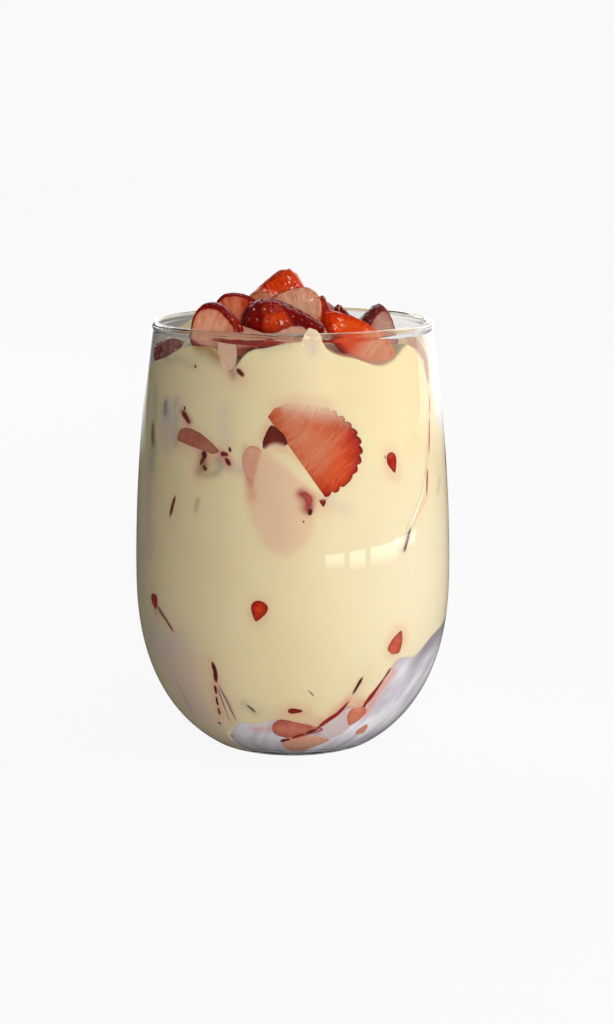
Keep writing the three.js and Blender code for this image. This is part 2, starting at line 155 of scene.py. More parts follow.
# %% [markdown]
# The glass. Its outside is a cut-off egg below the belly and a gentle taper above it. Both are powers of
# the height, so a handful of named sizes gives the whole wall. These are the same sizes as the solid's:
# here the wall is only turned in finer steps, so that highlights run smoothly over it.

# %% Profile of the glass
GLASS_HEIGHT, WALL = 124.0, 1.7
BELLY_RADIUS, BELLY_Z, BELLY_DEPTH, BELLY_POWER = 46.3, 50.0, 56.0, 2.34
RIM_RADIUS, TAPER_POWER = 40.2, 1.87
BEAD_HEIGHT, BEAD_PROUD = 2.8, 0.4
FOOT_RADIUS, PUNT_RADIUS, PUNT_DEPTH = 23.6, 15.5, 0.9
FLOOR_Z, FLOOR_ROUND, FLOOR_POWER = 4.0, 5.0, 3.6
FLOOR_THICKER = 1.6
GAP = 0.42


def egg(z, radius, depth):
    """Radius below the belly: an ellipse with a power of its own in place of the square."""
    t = np.clip((BELLY_Z - z) / depth, 0, 1)
    return radius * (1 - t**BELLY_POWER) ** (1 / BELLY_POWER)


def taper(z):
    """How far the wall above the belly has drawn in: a power of the height above it."""
    climb = np.clip((z - BELLY_Z) / (GLASS_HEIGHT - BELLY_Z), 0, 1)
    return (BELLY_RADIUS - RIM_RADIUS) * climb**TAPER_POWER


def outer_radius(z):
    """The wall's outside: the egg below the belly, drawn in above it."""
    return egg(z, BELLY_RADIUS, BELLY_DEPTH) - taper(z)


def inner_radius(z):
    """The wall's inside, rounded off where it meets the floor."""
    left = np.clip(1 - (z - FLOOR_Z) / FLOOR_ROUND, 0, 1)
    corner = (1 - left**FLOOR_POWER) ** (1 / FLOOR_POWER)
    return (egg(z, BELLY_RADIUS - WALL, BELLY_DEPTH - FLOOR_THICKER * WALL) - taper(z)) * corner


def fill_radius(z):
    """The side of the solid cream, which keeps a gap to the glass."""
    return inner_radius(z - GAP) - GAP


def floor_heights(base, steps):
    """Heights up the rounded corner of the floor, closest together where it is flattest."""
    angle = (np.arange(steps) + 1) / steps * np.pi / 2
    return base + FLOOR_ROUND * (1 - np.clip(np.cos(angle), 0, 1) ** (2 / FLOOR_POWER))


def turned(radius, height, sides):
    """Rings of a profile turned about the glass's axis."""
    phi = np.linspace(0, 2 * np.pi, sides, endpoint=False)
    x, y = np.outer(radius, np.sin(phi)), -np.outer(radius, np.cos(phi))
    return np.stack([x, y, np.broadcast_to(height[:, None], x.shape)], axis=-1)


PUNT_RINGS, PUNT_POWER, FOOT_ROUND = 8, 6, 0.5
SIDE_RINGS, SWELL_RINGS, BEAD_RINGS, INSIDE_RINGS, CORNER_RINGS, FLOOR_RINGS = 110, 8, 16, 100, 12, 10
SWELL_FROM, SWELL_FULL = 0.92, 0.55


def glass_profile():
    """Radius and height from the middle of the foot, up the outside, over the beaded rim and down
    inside."""
    punt = np.linspace(0.05, 1, PUNT_RINGS)
    ring = [PUNT_RADIUS + FOOT_ROUND, FOOT_RADIUS - FOOT_ROUND, FOOT_RADIUS]
    foot_r = np.concatenate([PUNT_RADIUS * punt, ring])
    foot_z = np.concatenate([PUNT_DEPTH * (1 - punt**PUNT_POWER), [0, 0, 0.05]])
    side_z = np.concatenate([[0.25, 0.6, 1.2], np.linspace(2, GLASS_HEIGHT - BEAD_HEIGHT, SIDE_RINGS)])
    bead = (outer_radius(GLASS_HEIGHT) - inner_radius(GLASS_HEIGHT) + BEAD_PROUD) / 2
    bead_at = outer_radius(GLASS_HEIGHT) + BEAD_PROUD - bead
    swell_z = np.linspace(GLASS_HEIGHT - BEAD_HEIGHT * SWELL_FROM, GLASS_HEIGHT - bead, SWELL_RINGS)
    swell = BEAD_PROUD * smooth(swell_z, swell_z[0], GLASS_HEIGHT - BEAD_HEIGHT * SWELL_FULL)
    angle = np.linspace(0, np.pi, BEAD_RINGS)
    corner_z = floor_heights(FLOOR_Z, CORNER_RINGS)[::-1]
    back_z = np.concatenate([np.linspace(GLASS_HEIGHT - 2 * bead, 9.2, INSIDE_RINGS), corner_z])
    inside = inner_radius(back_z)
    floor = np.linspace(inside[-1] - 1, 1, FLOOR_RINGS)
    rim_r, rim_z = bead_at + bead * np.cos(angle), GLASS_HEIGHT - bead + bead * np.sin(angle)
    side_r, swell_r = outer_radius(side_z), outer_radius(swell_z) + swell
    radius = np.concatenate([foot_r, side_r, swell_r, rim_r, inside, floor])
    height = np.concatenate([foot_z, side_z, swell_z, rim_z, back_z])
    return radius, np.concatenate([height, np.full(FLOOR_RINGS, FLOOR_Z)])


# %% [markdown]
# Glass in a path tracer has one well-known trouble: light from a lamp can't be aimed through it, so what
# lies behind comes out dark and speckled. The cure is to let shadow rays and diffuse rays pass straight
# through, and to keep the true refraction for what the eye and mirror-like rays see.


# %% Node helpers and the glass material
def add_node(tree, kind, inputs=None, **settings):
    """A shader node. An input is given by name or number, as a value or as the socket that feeds it."""
    made = tree.nodes.new("ShaderNode" + kind)
    for name, value in settings.items():
        setattr(made, name, value)
    for name, value in (inputs or {}).items():
        if isinstance(value, bpy.types.NodeSocket):
            tree.links.new(value, made.inputs[name])
        else:
            made.inputs[name].default_value = value
    return made


def new_material(name):
    """A node material that holds only its output node, and its tree."""
    material = bpy.data.materials.new(name)
    material.use_nodes = True
    material.node_tree.nodes.clear()
    material.node_tree.nodes.new("ShaderNodeOutputMaterial")
    return material, material.node_tree


def finished(material, shader):
    """Feeds a shader to the material's output, its first node, and gives the material back."""
    tree = material.node_tree
    tree.links.new(shader.outputs[0], tree.nodes[0].inputs["Surface"])
    return material


def maths(tree, operation, one, two=0.0, clamp=False):
    """One sum of two values, each a number or the socket that gives it."""
    return add_node(tree, "Math", {0: one, 1: two}, operation=operation, use_clamp=clamp).outputs[0]


def mix_colour(tree, share, one, two, blend="MIX"):
    """The first colour at a share of 0 and the second at 1."""
    mixed = add_node(tree, "Mix", {0: share, 6: one, 7: two}, data_type="RGBA", blend_type=blend)
    return mixed.outputs[2]


def ramp(tree, value, stops):
    """A colour ramp from its stops, each a place from 0 to 1 and a colour."""
    made = add_node(tree, "ValToRGB", {0: value})
    elements = made.color_ramp.elements
    while len(elements) < len(stops):
        elements.new(1)
    for element, (place, colour) in zip(elements, stops):
        element.position = place
        element.color = (*colour, 1)
    return made.outputs[0]


def attribute(tree, name, output="Fac"):
    """A value stored on the mesh."""
    return add_node(tree, "Attribute", attribute_name=name).outputs[output]


def object_place(tree):
    """Where a point of the surface lies, in metres."""
    return add_node(tree, "TexCoord").outputs["Object"]


def noise(tree, place, scale, detail):
    """Cloudy noise around a half, with `scale` clouds to the metre and finer ones laid over them."""
    return add_node(tree, "TexNoise", {"Vector": place, "Scale": scale, "Detail": detail}).outputs[0]


GLASS_TINT = (0.965, 0.96, 0.955, 1)


def glass_finish():
    """Clear glass to the eye, and nothing at all to shadow rays and diffuse rays."""
    material, tree = new_material("clear_glass")
    glass = add_node(
        tree,
        "BsdfPrincipled",
        {"Base Color": GLASS_TINT, "Roughness": 0.0, "IOR": 1.46, "Transmission Weight": 1.0},
    )
    through = add_node(tree, "BsdfTransparent")
    path = add_node(tree, "LightPath")
    passing = maths(tree, "MAXIMUM", path.outputs["Is Shadow Ray"], path.outputs["Is Diffuse Ray"])
    mixed = add_node(tree, "MixShader", {0: passing, 1: glass.outputs[0], 2: through.outputs[0]})
    return finished(material, mixed)


GLASS_SIDES = 180
radius, height = glass_profile()
rings = turned(radius, height, GLASS_SIDES)
glass_surface = closed_surface(rings, (0, 0, PUNT_DEPTH), (0, 0, FLOOR_Z))
add_piece("tumbler", glass_surface, glass_finish(), ["glass"])
print("glass rings:", len(radius), "widest:", round(float(radius.max()) * 2, 1), "mm")

# %% [markdown]
# The cream. It went in thick, so it wets the glass nearly everywhere and keeps the marks of what was pushed
# into it: a wavy edge under the rim, and a hollow low on the right where it never reached the wall. In a
# render, a filling that only touches its glass shows a silvery gap. So the cream's side is made a quarter
# of a millimetre larger than the inside of the glass, and the eye goes from glass straight into cream.

# %% Shape of the cream
CREAM_EDGE_Z, MOUND_Z, MOUND_RADIUS = 119.8, 125.0, 30.0
INTO_WALL, INTO_FLOOR = 0.25, 0.2
HOLLOW_Z, HOLLOW_DEPTH, LEAN_HEIGHT = 10.0, 7.0, 1.5
EDGE_BUMPS = [
    (-84, 20, -9), (-60, 9, -1.8), (-24.5, 5, -6), (2, 12, 1.6), (7, 2.2, 3.6), (10.4, 2.2, 3.6),
    (18, 8, -2), (37, 14, -5.4), (53, 6, 1.4), (77, 12, -27), (128, 14, -4.5), (196, 14, -5), (228, 8, 2),
]
HOLLOW_BUMPS = [
    (-66, 24, -9.2), (-40, 10, -4.7), (-24, 7, 1.7), (-4, 12, 4.2), (8, 5, 1.2), (21.5, 6, 8.4),
    (30, 6, 4.3), (42, 9, 14.4), (58, 15, 12.1), (88, 32, 29.5), (205, 26, 2.6),
]


def sum_of_bumps(bumps, phi):
    """Adds up smooth bumps, each with its angle round the wall, its width in degrees and its height."""
    middle, width, size = np.array(bumps, dtype=float).T
    away = (phi[..., None] - middle + 540) % 360 - 180
    return (size * np.exp(-((away / width) ** 2))).sum(axis=-1)


def cream_edge(phi):
    """Height of the cream's edge at the wall, from the angle in degrees."""
    waves = 0.5 * np.sin(np.radians(3 * phi + 40)) + 0.4 * np.sin(np.radians(7 * phi))
    return CREAM_EDGE_Z + waves + sum_of_bumps(EDGE_BUMPS, phi)


def hollow_top(phi):
    """Height below which the cream stands back from the glass."""
    return HOLLOW_Z + 2.2 * np.sin(np.radians(2 * phi + 150)) + sum_of_bumps(HOLLOW_BUMPS, phi)


def wetted_radius(z):
    """Where cream that touches the glass lies: just into the wall."""
    return inner_radius(z + INTO_FLOOR) + INTO_WALL


def cream_radius(phi, z):
    """Radius of the cream's side: just into the wall where it touches, standing back below the hollow's
    top."""
    below = hollow_top(phi) - z
    touching = wetted_radius(z)
    lean = touching + (fill_radius(z) - touching) * smooth(below, 0, LEAN_HEIGHT)
    return np.maximum(lean - HOLLOW_DEPTH * smooth(below, 0, HOLLOW_DEPTH), 0.5 * fill_radius(z))


def cream_top(phi, share, radius):
    """Height of the top at a share of the way from the axis to the wall: the edge's height at the wall, the
    mound's under the fruit, and small lumps and folds between."""
    mound = 1 - smooth(share * RIM_RADIUS, 0, MOUND_RADIUS)
    edge = share**3
    x, y = radius * np.sin(np.radians(phi)), -radius * np.cos(np.radians(phi))
    lumps = 0.9 * ripple(0.3 * x, 0.3 * y, 3) + 0.35 * ripple(0.8 * x, 0.8 * y, 5)
    flat = edge * cream_edge(phi) + (1 - edge) * (CREAM_EDGE_Z - 1)
    return flat + (MOUND_Z - CREAM_EDGE_Z + 1) * mound + lumps * (1 - share**6)


CREAM_SIDES, SIDE_ROWS, TOP_ROWS, CORNER_ROWS = 400, 172, 46, 8
EVENNESS = 0.62


def front_first(count):
    """Angles round the wall in degrees, packed closer at the front: a straight line plus a cube."""
    w = (np.arange(count) + 0.5) / count * 2 - 1
    return 180 * (EVENNESS * w + (1 - EVENNESS) * w**3)


def polar(radius, phi, z):
    """Points from a radius, an angle round the wall in degrees from the front towards +X, and a height."""
    turn = np.radians(phi)
    x, y = radius * np.sin(turn), -radius * np.cos(turn)
    return np.stack(np.broadcast_arrays(x, y, z), axis=-1)


def cream_rings():
    """Rings up the floor's corner, up the side and in over the top, with the angle of each point."""
    phi = np.broadcast_to(front_first(CREAM_SIDES), (1, CREAM_SIDES))
    bottom = FLOOR_Z - INTO_FLOOR
    corner_z = np.broadcast_to(floor_heights(bottom, CORNER_ROWS)[:, None], (CORNER_ROWS, CREAM_SIDES))
    climb = (np.arange(SIDE_ROWS)[:, None] + 1) / SIDE_ROWS
    low = bottom + FLOOR_ROUND
    side_z = low + climb * (cream_edge(phi) - low)
    share = np.linspace(0.985, 0.04, TOP_ROWS)[:, None]
    top_r = share * cream_radius(phi, cream_edge(phi))
    rings = [polar(cream_radius(phi, corner_z), phi, corner_z), polar(cream_radius(phi, side_z), phi, side_z)]
    rings.append(polar(top_r, phi, cream_top(phi, share, top_r)))
    rings = np.concatenate(rings)
    return rings, np.broadcast_to(phi, rings.shape[:2])


# %% [markdown]
# Strawberries. A whole berry is a sine of its length raised to a power: blunt at the stem, long at the tip.
# Every piece here is such a berry cut by two parallel planes, sometimes trimmed lengthwise or across. The
# skin is dented by rows of seed pits, so wherever a cut meets the skin the edge comes out wavy by itself.
# The alternative, a slab with a drawn outline, never shows skin and flesh in the right places.

# %% Shape of a cut strawberry
SHOULDER, FULLNESS, CUT_ROUND, TINY = 0.62, 0.72, 0.9, 1e-6
SEED_ROW, SEEDS_AROUND, PIT_DEPTH = 1.4, 12, 0.42
EDGE_ROUND, LUMPS, PIT_REACH = 0.45, 0.045, 0.8
SKIN_WAVES, FACE_WAVES, FACE_SAG = 0.05, 0.05, 0.14
THREAD_CURVE, THREAD_SPREAD = 1.1, 2.5
UNCUT = 99


def berry_shape(t, piece):
    """Half-width as a share of the greatest, from the stem end (0) to the tip (1): the sine of pi times t
    to one power, to another power. The smaller this is, the blunter the berry."""
    return np.sin(np.pi * np.clip(t, TINY, 1 - TINY) ** SHOULDER) ** piece.get("fullness", FULLNESS)


def berry_ends(share, piece):
    """Where along the berry its half-width passes a share: once near the stem end and once near the tip."""
    angle = np.arcsin(np.minimum(share, 0.999) ** (1 / piece.get("fullness", FULLNESS))) / np.pi
    return angle ** (1 / SHOULDER), (1 - angle) ** (1 / SHOULDER)


def skin_way(piece):
    """Places along the berry, and how far over the skin each lies from the stem end: the sum of short
    steps."""
    t = np.linspace(0, 1, 400)
    steps = np.hypot(np.diff(t) * piece["length"], np.diff(piece["radius"] * berry_shape(t, piece)))
    return t, np.concatenate([[0], np.cumsum(steps)])


def seed_pit(along, around):
    """1 at the bottom of a seed's pit and 0 between pits: the product of a wave along the skin and one
    round it peaks on a staggered lattice, as the seeds do."""
    return smooth(np.cos(np.pi * along / SEED_ROW) * np.cos(SEEDS_AROUND * around / 2), 0.4, 1)


def smooth_radius(t, around, piece):
    """Distance of the skin from the berry's axis without its pits: the shape, slightly lumpy."""
    lumps = ripple(6 * t + piece["radius"], 1.4 * np.cos(around) + 0.9 * np.sin(around), piece["length"])
    return piece["radius"] * berry_shape(t, piece) * (1 + LUMPS * lumps)


def skin_radius(t, around, piece):
    """The skin with its pits, which fade towards the ends. A slice with teeth is scalloped at its edge:
    round bumps with sharp gaps between them, and none on the axis."""
    along = np.interp(t, *skin_way(piece))
    pits = piece.get("pits", PIT_DEPTH) * seed_pit(along, around) * smooth(berry_shape(t, piece), 0.3, 0.7)
    gaps = 1 - np.abs(np.sin(np.pi * along / (2 * SEED_ROW))) ** 0.8
    teeth = piece.get("teeth", 0) * gaps * smooth(along, 0.3 * SEED_ROW, SEED_ROW)
    grain = SKIN_WAVES * ripple(2.4 * along, 7 * np.sin(around), 7)
    return np.maximum(smooth_radius(t, around, piece) - pits - teeth - grain, 0.02)


def cut_limits(piece):
    """The two main cuts, kept just inside the berry."""
    shell = 0.985 * piece["radius"]
    return max(-shell, piece["cuts"][0]), min(shell, piece["cuts"][1])


def ring_plan(piece, face_rings, wall_rings):
    """For each ring, the height of the cut whose outline it takes, its share of that outline and its own
    height. Shares follow a sine, so that rings crowd towards the edge, which is rounded by a quarter
    circle. Heights over the skin are even steps of angle round the berry."""
    low, high = cut_limits(piece)
    bevel = min(EDGE_ROUND, 0.35 * (high - low))
    share = np.sin(np.pi / 2 * np.arange(1, face_rings + 1) / face_rings)
    flat = 1 - bevel / (0.6 * piece["radius"])
    drop = bevel * (1 - np.sqrt(1 - np.clip((share - flat) / (1 - flat), 0, 1) ** 2))
    ends = np.arcsin(np.array([low + bevel, high - bevel]) / piece["radius"])
    wall = piece["radius"] * np.sin(np.linspace(*ends, wall_rings))
    outline = np.concatenate([np.full(face_rings, low), wall, np.full(face_rings, high)])
    shares = np.concatenate([share, np.ones(wall_rings), share[::-1]])
    heights = np.concatenate([low + drop, wall, (high - drop)[::-1]])
    return outline[:, None], shares[:, None], heights[:, None]


def fruit_surface(piece, sides, face_rings, wall_rings, seed):
    """A cut piece in its own frame, X from stem end to tip and Z square to the main cuts, in millimetres.
    Each ring runs along the skin, or along the cut where that is nearer, and is drawn in to its share of
    the way from its middle. Every point also gets its depth below the skin and the grain that the threads
    follow."""
    start, end = piece.get("start", 0.0), piece.get("end", 1.0)
    left, right, length = piece.get("left", UNCUT), piece.get("right", UNCUT), piece["length"]
    middle = (start + end) / 2
    outline, share, z = ring_plan(piece, face_rings, wall_rings)
    first, last = berry_ends(np.abs(outline) / piece["radius"], piece)
    low, high = np.maximum(first, start), np.minimum(last, end)
    angle = np.linspace(0, 2 * np.pi, sides, endpoint=False)[None, :]
    t = low + (high - low) * (1 - np.cos(angle)) / 2
    side = np.where(np.sin(angle) < 0, 1.0, -1.0)
    x = (t - middle) * length
    side_limit = np.where(side > 0, left - piece.get("tilt", 0) * x, right)
    full = piece["radius"] * berry_shape(t, piece)
    half = np.sqrt(np.maximum(full**2 - outline**2, 0))
    around = np.arctan2(outline, side * half)
    smooth_half = half * smooth_radius(t, around, piece) / full
    skin_share = skin_radius(t, around, piece) / full
    dent = np.where(smooth_half < side_limit, smooth_half - half * skin_share, 0)
    z = z * (1 + share**2 * (np.clip(skin_share, 0.85, 1.1) - 1))
    from_cut = np.minimum(t - start if start > 0 else 1, end - t if end < 1 else 1) * length
    smooth_half = smooth_half * np.clip(from_cut / CUT_ROUND + 0.02, 0, 1)
    y = side * np.minimum(smooth_half, side_limit)
    centre_x, centre_y = x.mean(axis=1, keepdims=True), y.mean(axis=1, keepdims=True)
    away_x, away_y = x - centre_x, y - centre_y
    shrink = share * (1 - share**2 * dent / np.maximum(np.hypot(away_x, away_y), 3 * dent + 0.1))
    x, y = centre_x + shrink * away_x, centre_y + shrink * away_y
    waves = FACE_SAG * ripple(0.55 * x, 0.55 * y, seed) + FACE_WAVES * ripple(2.6 * x, 2.6 * y, seed + 5)
    sag = waves * np.sqrt(1 - np.minimum(share, 1) ** 4)
    z = z + sag * np.where(outline < 0.5 * sum(cut_limits(piece)), -1, 1)
    here, rho, around = np.clip(x / length + middle, 0, 1), np.hypot(y, z), np.arctan2(z, y)
    depth = np.maximum(smooth_radius(here, around, piece) - rho, 0)
    pit = smooth_radius(here, around, piece) - skin_radius(here, around, piece)
    depth = np.maximum(depth - pit * np.exp(-np.maximum(depth - pit, 0) / PIT_REACH), 0)
    spread = np.hypot(rho, THREAD_SPREAD)
    run = x - THREAD_CURVE * (here - 0.3) * spread + 7.3 * seed
    grain = np.stack([run, 0.16 * spread, 0.5 * z + 0.06 * y], axis=-1)
    rings = np.stack([x, y, z], axis=-1)
    poles = rings[0].mean(axis=0), rings[-1].mean(axis=0)
    return closed_surface(rings, *poles, depth=depth, grain=grain)


# %% [markdown]
# Placing them. A piece in the heap is given by where its middle lies, which way its tip points and which
# way its main cut faces. A piece at the wall only needs an angle, a height and a clock hand for its tip. It
# is set a little outside the wall and then pressed back, which bends its cut face to the curve of the
# glass.


# %% Frames of the pieces
def axes_from(axis, normal):
    """Three unit directions: X along `axis`, Z as near `normal` as can be, and Y square to both."""
    x = np.array(axis, dtype=float)
    x = x / np.linalg.norm(x)
    y = np.cross(normal, x)
    y = y / np.linalg.norm(y)
    return np.stack([x, y, np.cross(x, y)])


def wall_axes(piece):
    """The same for a piece flat on the wall, whose `clock` is where its tip points, clockwise from straight
    up as seen from outside."""
    phi, clock, z = np.radians(piece["phi"]), np.radians(piece["clock"]), piece["z"]
    slope = (fill_radius(z + 1) - fill_radius(z - 1)) / 2
    right = np.array([np.cos(phi), np.sin(phi), 0.0])
    up = np.array([slope * np.sin(phi), -slope * np.cos(phi), 1.0])
    up = up / np.linalg.norm(up)
    return axes_from(np.cos(clock) * up + np.sin(clock) * right, np.cross(right, up))


def pressed(points, proud):
    """Moves whatever reaches past the cream's side straight back to `proud` millimetres outside that side,
    and whatever is below the floor up to it."""
    z = np.maximum(points[:, 2], FLOOR_Z - INTO_FLOOR / 2)
    limit = wetted_radius(np.clip(z, FLOOR_Z + 0.05, GLASS_HEIGHT)) + proud
    radius = np.hypot(points[:, 0], points[:, 1])
    share = np.minimum(1, limit / np.maximum(radius, TINY))
    return np.stack([points[:, 0] * share, points[:, 1] * share, z], axis=-1)


# %% [markdown]
# The two lists of pieces, as the solids have them. Each piece also says how it looks. `ripe` goes from pale
# and watery (0) to a full red (1), and `dark` browns a piece: a bruised scrap, and painted shade on pieces
# that lie in shadow, such as the right chunk and the far-left half of the heap and the left slice at the
# wall. `film` is the thin cream over it, whose milk is greyer where the piece is `cold`. `deep` and `shallow`
# change how far below the skin the flesh seems to lie, and `rind` widens the strip of skin along the upper
# edge.
#
# Some looks change over a piece. A slant is a direction in the picture (right and up), the distance from
# the piece's middle where it begins and the one where it is full: `veil` adds film along one, and `flush`
# adds an amount of ripeness. A ball is a middle and a reach: `clear` keeps the film off in one, `under`
# adds film and `bare` takes the skin off.
#
# The form has words of its own. `start` and `end` trim the berry across, `left` and `right` lengthwise, and
# `tilt` slants the left trim. `fullness` is the power of its shape, `pits` the depth of the seed pits and
# `teeth` that of the gaps in a scalloped edge; a `seedless` piece gets no seeds. At the wall, `seep` is how
# much juice the cream takes up. A `veiled` piece lies under the cream, a `tucked` one only where the cream
# touches the glass, and `lift` brings one forward.

# %% The pieces of fruit
def in_heap(name, length, radius, cuts, at, axis, normal, ripe, **looks):
    """A piece of the heap: its size, the heights of its main cuts, its middle, and the directions in which
    its tip and its main cut face."""
    size = dict(name=name, length=length, radius=radius, cuts=cuts)
    return dict(size, at=at, axis=axis, normal=normal, ripe=ripe, **looks)


def at_wall(name, length, radius, thick, phi, z, clock, ripe, **looks):
    """A piece on the wall: its size, its angle round the wall, its height and the clock hand of its tip."""
    size = dict(name=name, length=length, radius=radius, cuts=(-thick, 0.0))
    return dict(size, phi=phi, z=z, clock=clock, ripe=ripe, **looks)


HEAP = [
    in_heap("heap_right_slice", 25.4, 5.9, (-2.4, 2.4), (17.8, -25.4, 120.6), (-0.77, 0.1, 0.64),
            (0.05, -0.93, 0.37), 1.0, end=0.93, bare=((0, -3, 0), 20),
            flush=(-0.85, 0.75, -0.65, -1.5, 5), pits=0.08, seedless=True),
    in_heap("heap_left_low_slice", 26, 6.5, (-2, 1.5), (-14.9, -26.4, 120.6), (0.95, -0.25, -0.08),
            (-0.1, -0.45, 0.89), 0.1, film=0.36, bare=((1, -10, -5), 7)),
    in_heap("heap_grey_slice", 12.5, 4.2, (-1.4, 1.4), (-0.8, -28.4, 121), (-1, 0, 0.05), (0, -0.8, 0.6),
            0.05, film=0.45),
    in_heap("heap_seeded_half", 26, 7, (-1, 6.9), (-2.5, -16.6, 123.6), (0.98, -0.05, -0.18),
            (0, -0.75, 0.66), 0.95, end=0.9, bare=((-1.3, -6.6, 0.6), 5.2)),
    in_heap("heap_left_slice", 16, 6.4, (-2, 2.6), (-19.9, -22.6, 123.8), (0.92, -0.2, -0.33),
            (-0.25, -0.95, 0.15), 0.05, rind=1.1, film=0.18, flush=(0.6, 1, 0, 0.5, 5)),
    in_heap("heap_pale_slice", 17, 6.4, (-1.8, 1.8), (-0.1, -8.4, 127.7), (-1, 0, 0.02),
            (0.05, -0.85, 0.5), 0.0, film=0.24, deep=0.3),
    in_heap("heap_left_upper_slice", 17.5, 7, (-2.5, 2.5), (-13.6, -12, 125.8), (1, 0.05, 0.08),
            (-0.1, -0.95, 0.3), 0.4, rind=0.7, flush=(0.6, 1, 0, -3, 2)),
    in_heap("heap_apex_tip", 24, 10.5, (-3, 3.4), (-2.4, -2.6, 132.3), (0.24, 0.1, 1), (0.1, -1, 0.15),
            1.0, start=0.42, end=0.97, shallow=0.35, bare=((-4, -5, -1), 15),
            flush=(-0.85, -0.5, -0.87, 1, 4), seedless=True),
    in_heap("heap_small_tip", 9, 3.3, (-1.6, 1.6), (7.8, -6.4, 127), (0.2, 0, 1), (0, -1, 0.1), 0.9),
    # Its `dark` is painted shade on the shadowed chunk.
    in_heap("heap_right_chunk", 15, 7.5, (-7.4, 2.5), (24.4, -1, 121.2), (0.1, 0.25, 1), (0.72, -0.69, 0),
            0.0, rind=0.5, dark=0.55, film=0.1, cold=1),
    in_heap("heap_dark_scrap", 9, 3.4, (-2, 2), (14, 3, 123.6), (-0.2, 0, 1), (0, -1, 0), 0.9, dark=0.3),
    # Its `dark` is painted shade, as it lies in shadow behind the glass.
    in_heap("heap_far_left_half", 14, 4.2, (0, 4.1), (-33, -15, 116.2), (0.42, -0.86, 0.3),
            (-0.6, -0.2, 0.77), 0.95, dark=0.72, bare=((0, 0, 0), 14)),
    in_heap("heap_back_half", 25, 9.5, (0, 9.3), (3.5, 12.5, 122.4), (0.9, 0.35, 0.05), (0, 0.45, 0.89),
            0.9),
    in_heap("heap_back_left_slice", 21, 8.2, (-2, 2), (-14.5, 7.5, 123.4), (-0.5, 0.75, -0.3),
            (-0.35, 0.2, 0.9), 0.6),
    in_heap("heap_back_right_slice", 20, 7.6, (-1.8, 2), (19.5, 15.5, 119.6), (0.6, -0.6, -0.2),
            (0.3, 0.35, 0.88), 0.45, film=0.15),
    in_heap("heap_back_low_slice", 22, 7.8, (-2, 1.8), (-6.5, 25.5, 118.8), (-1, 0.1, -0.05),
            (0.05, 0.6, 0.8), 0.7),
]
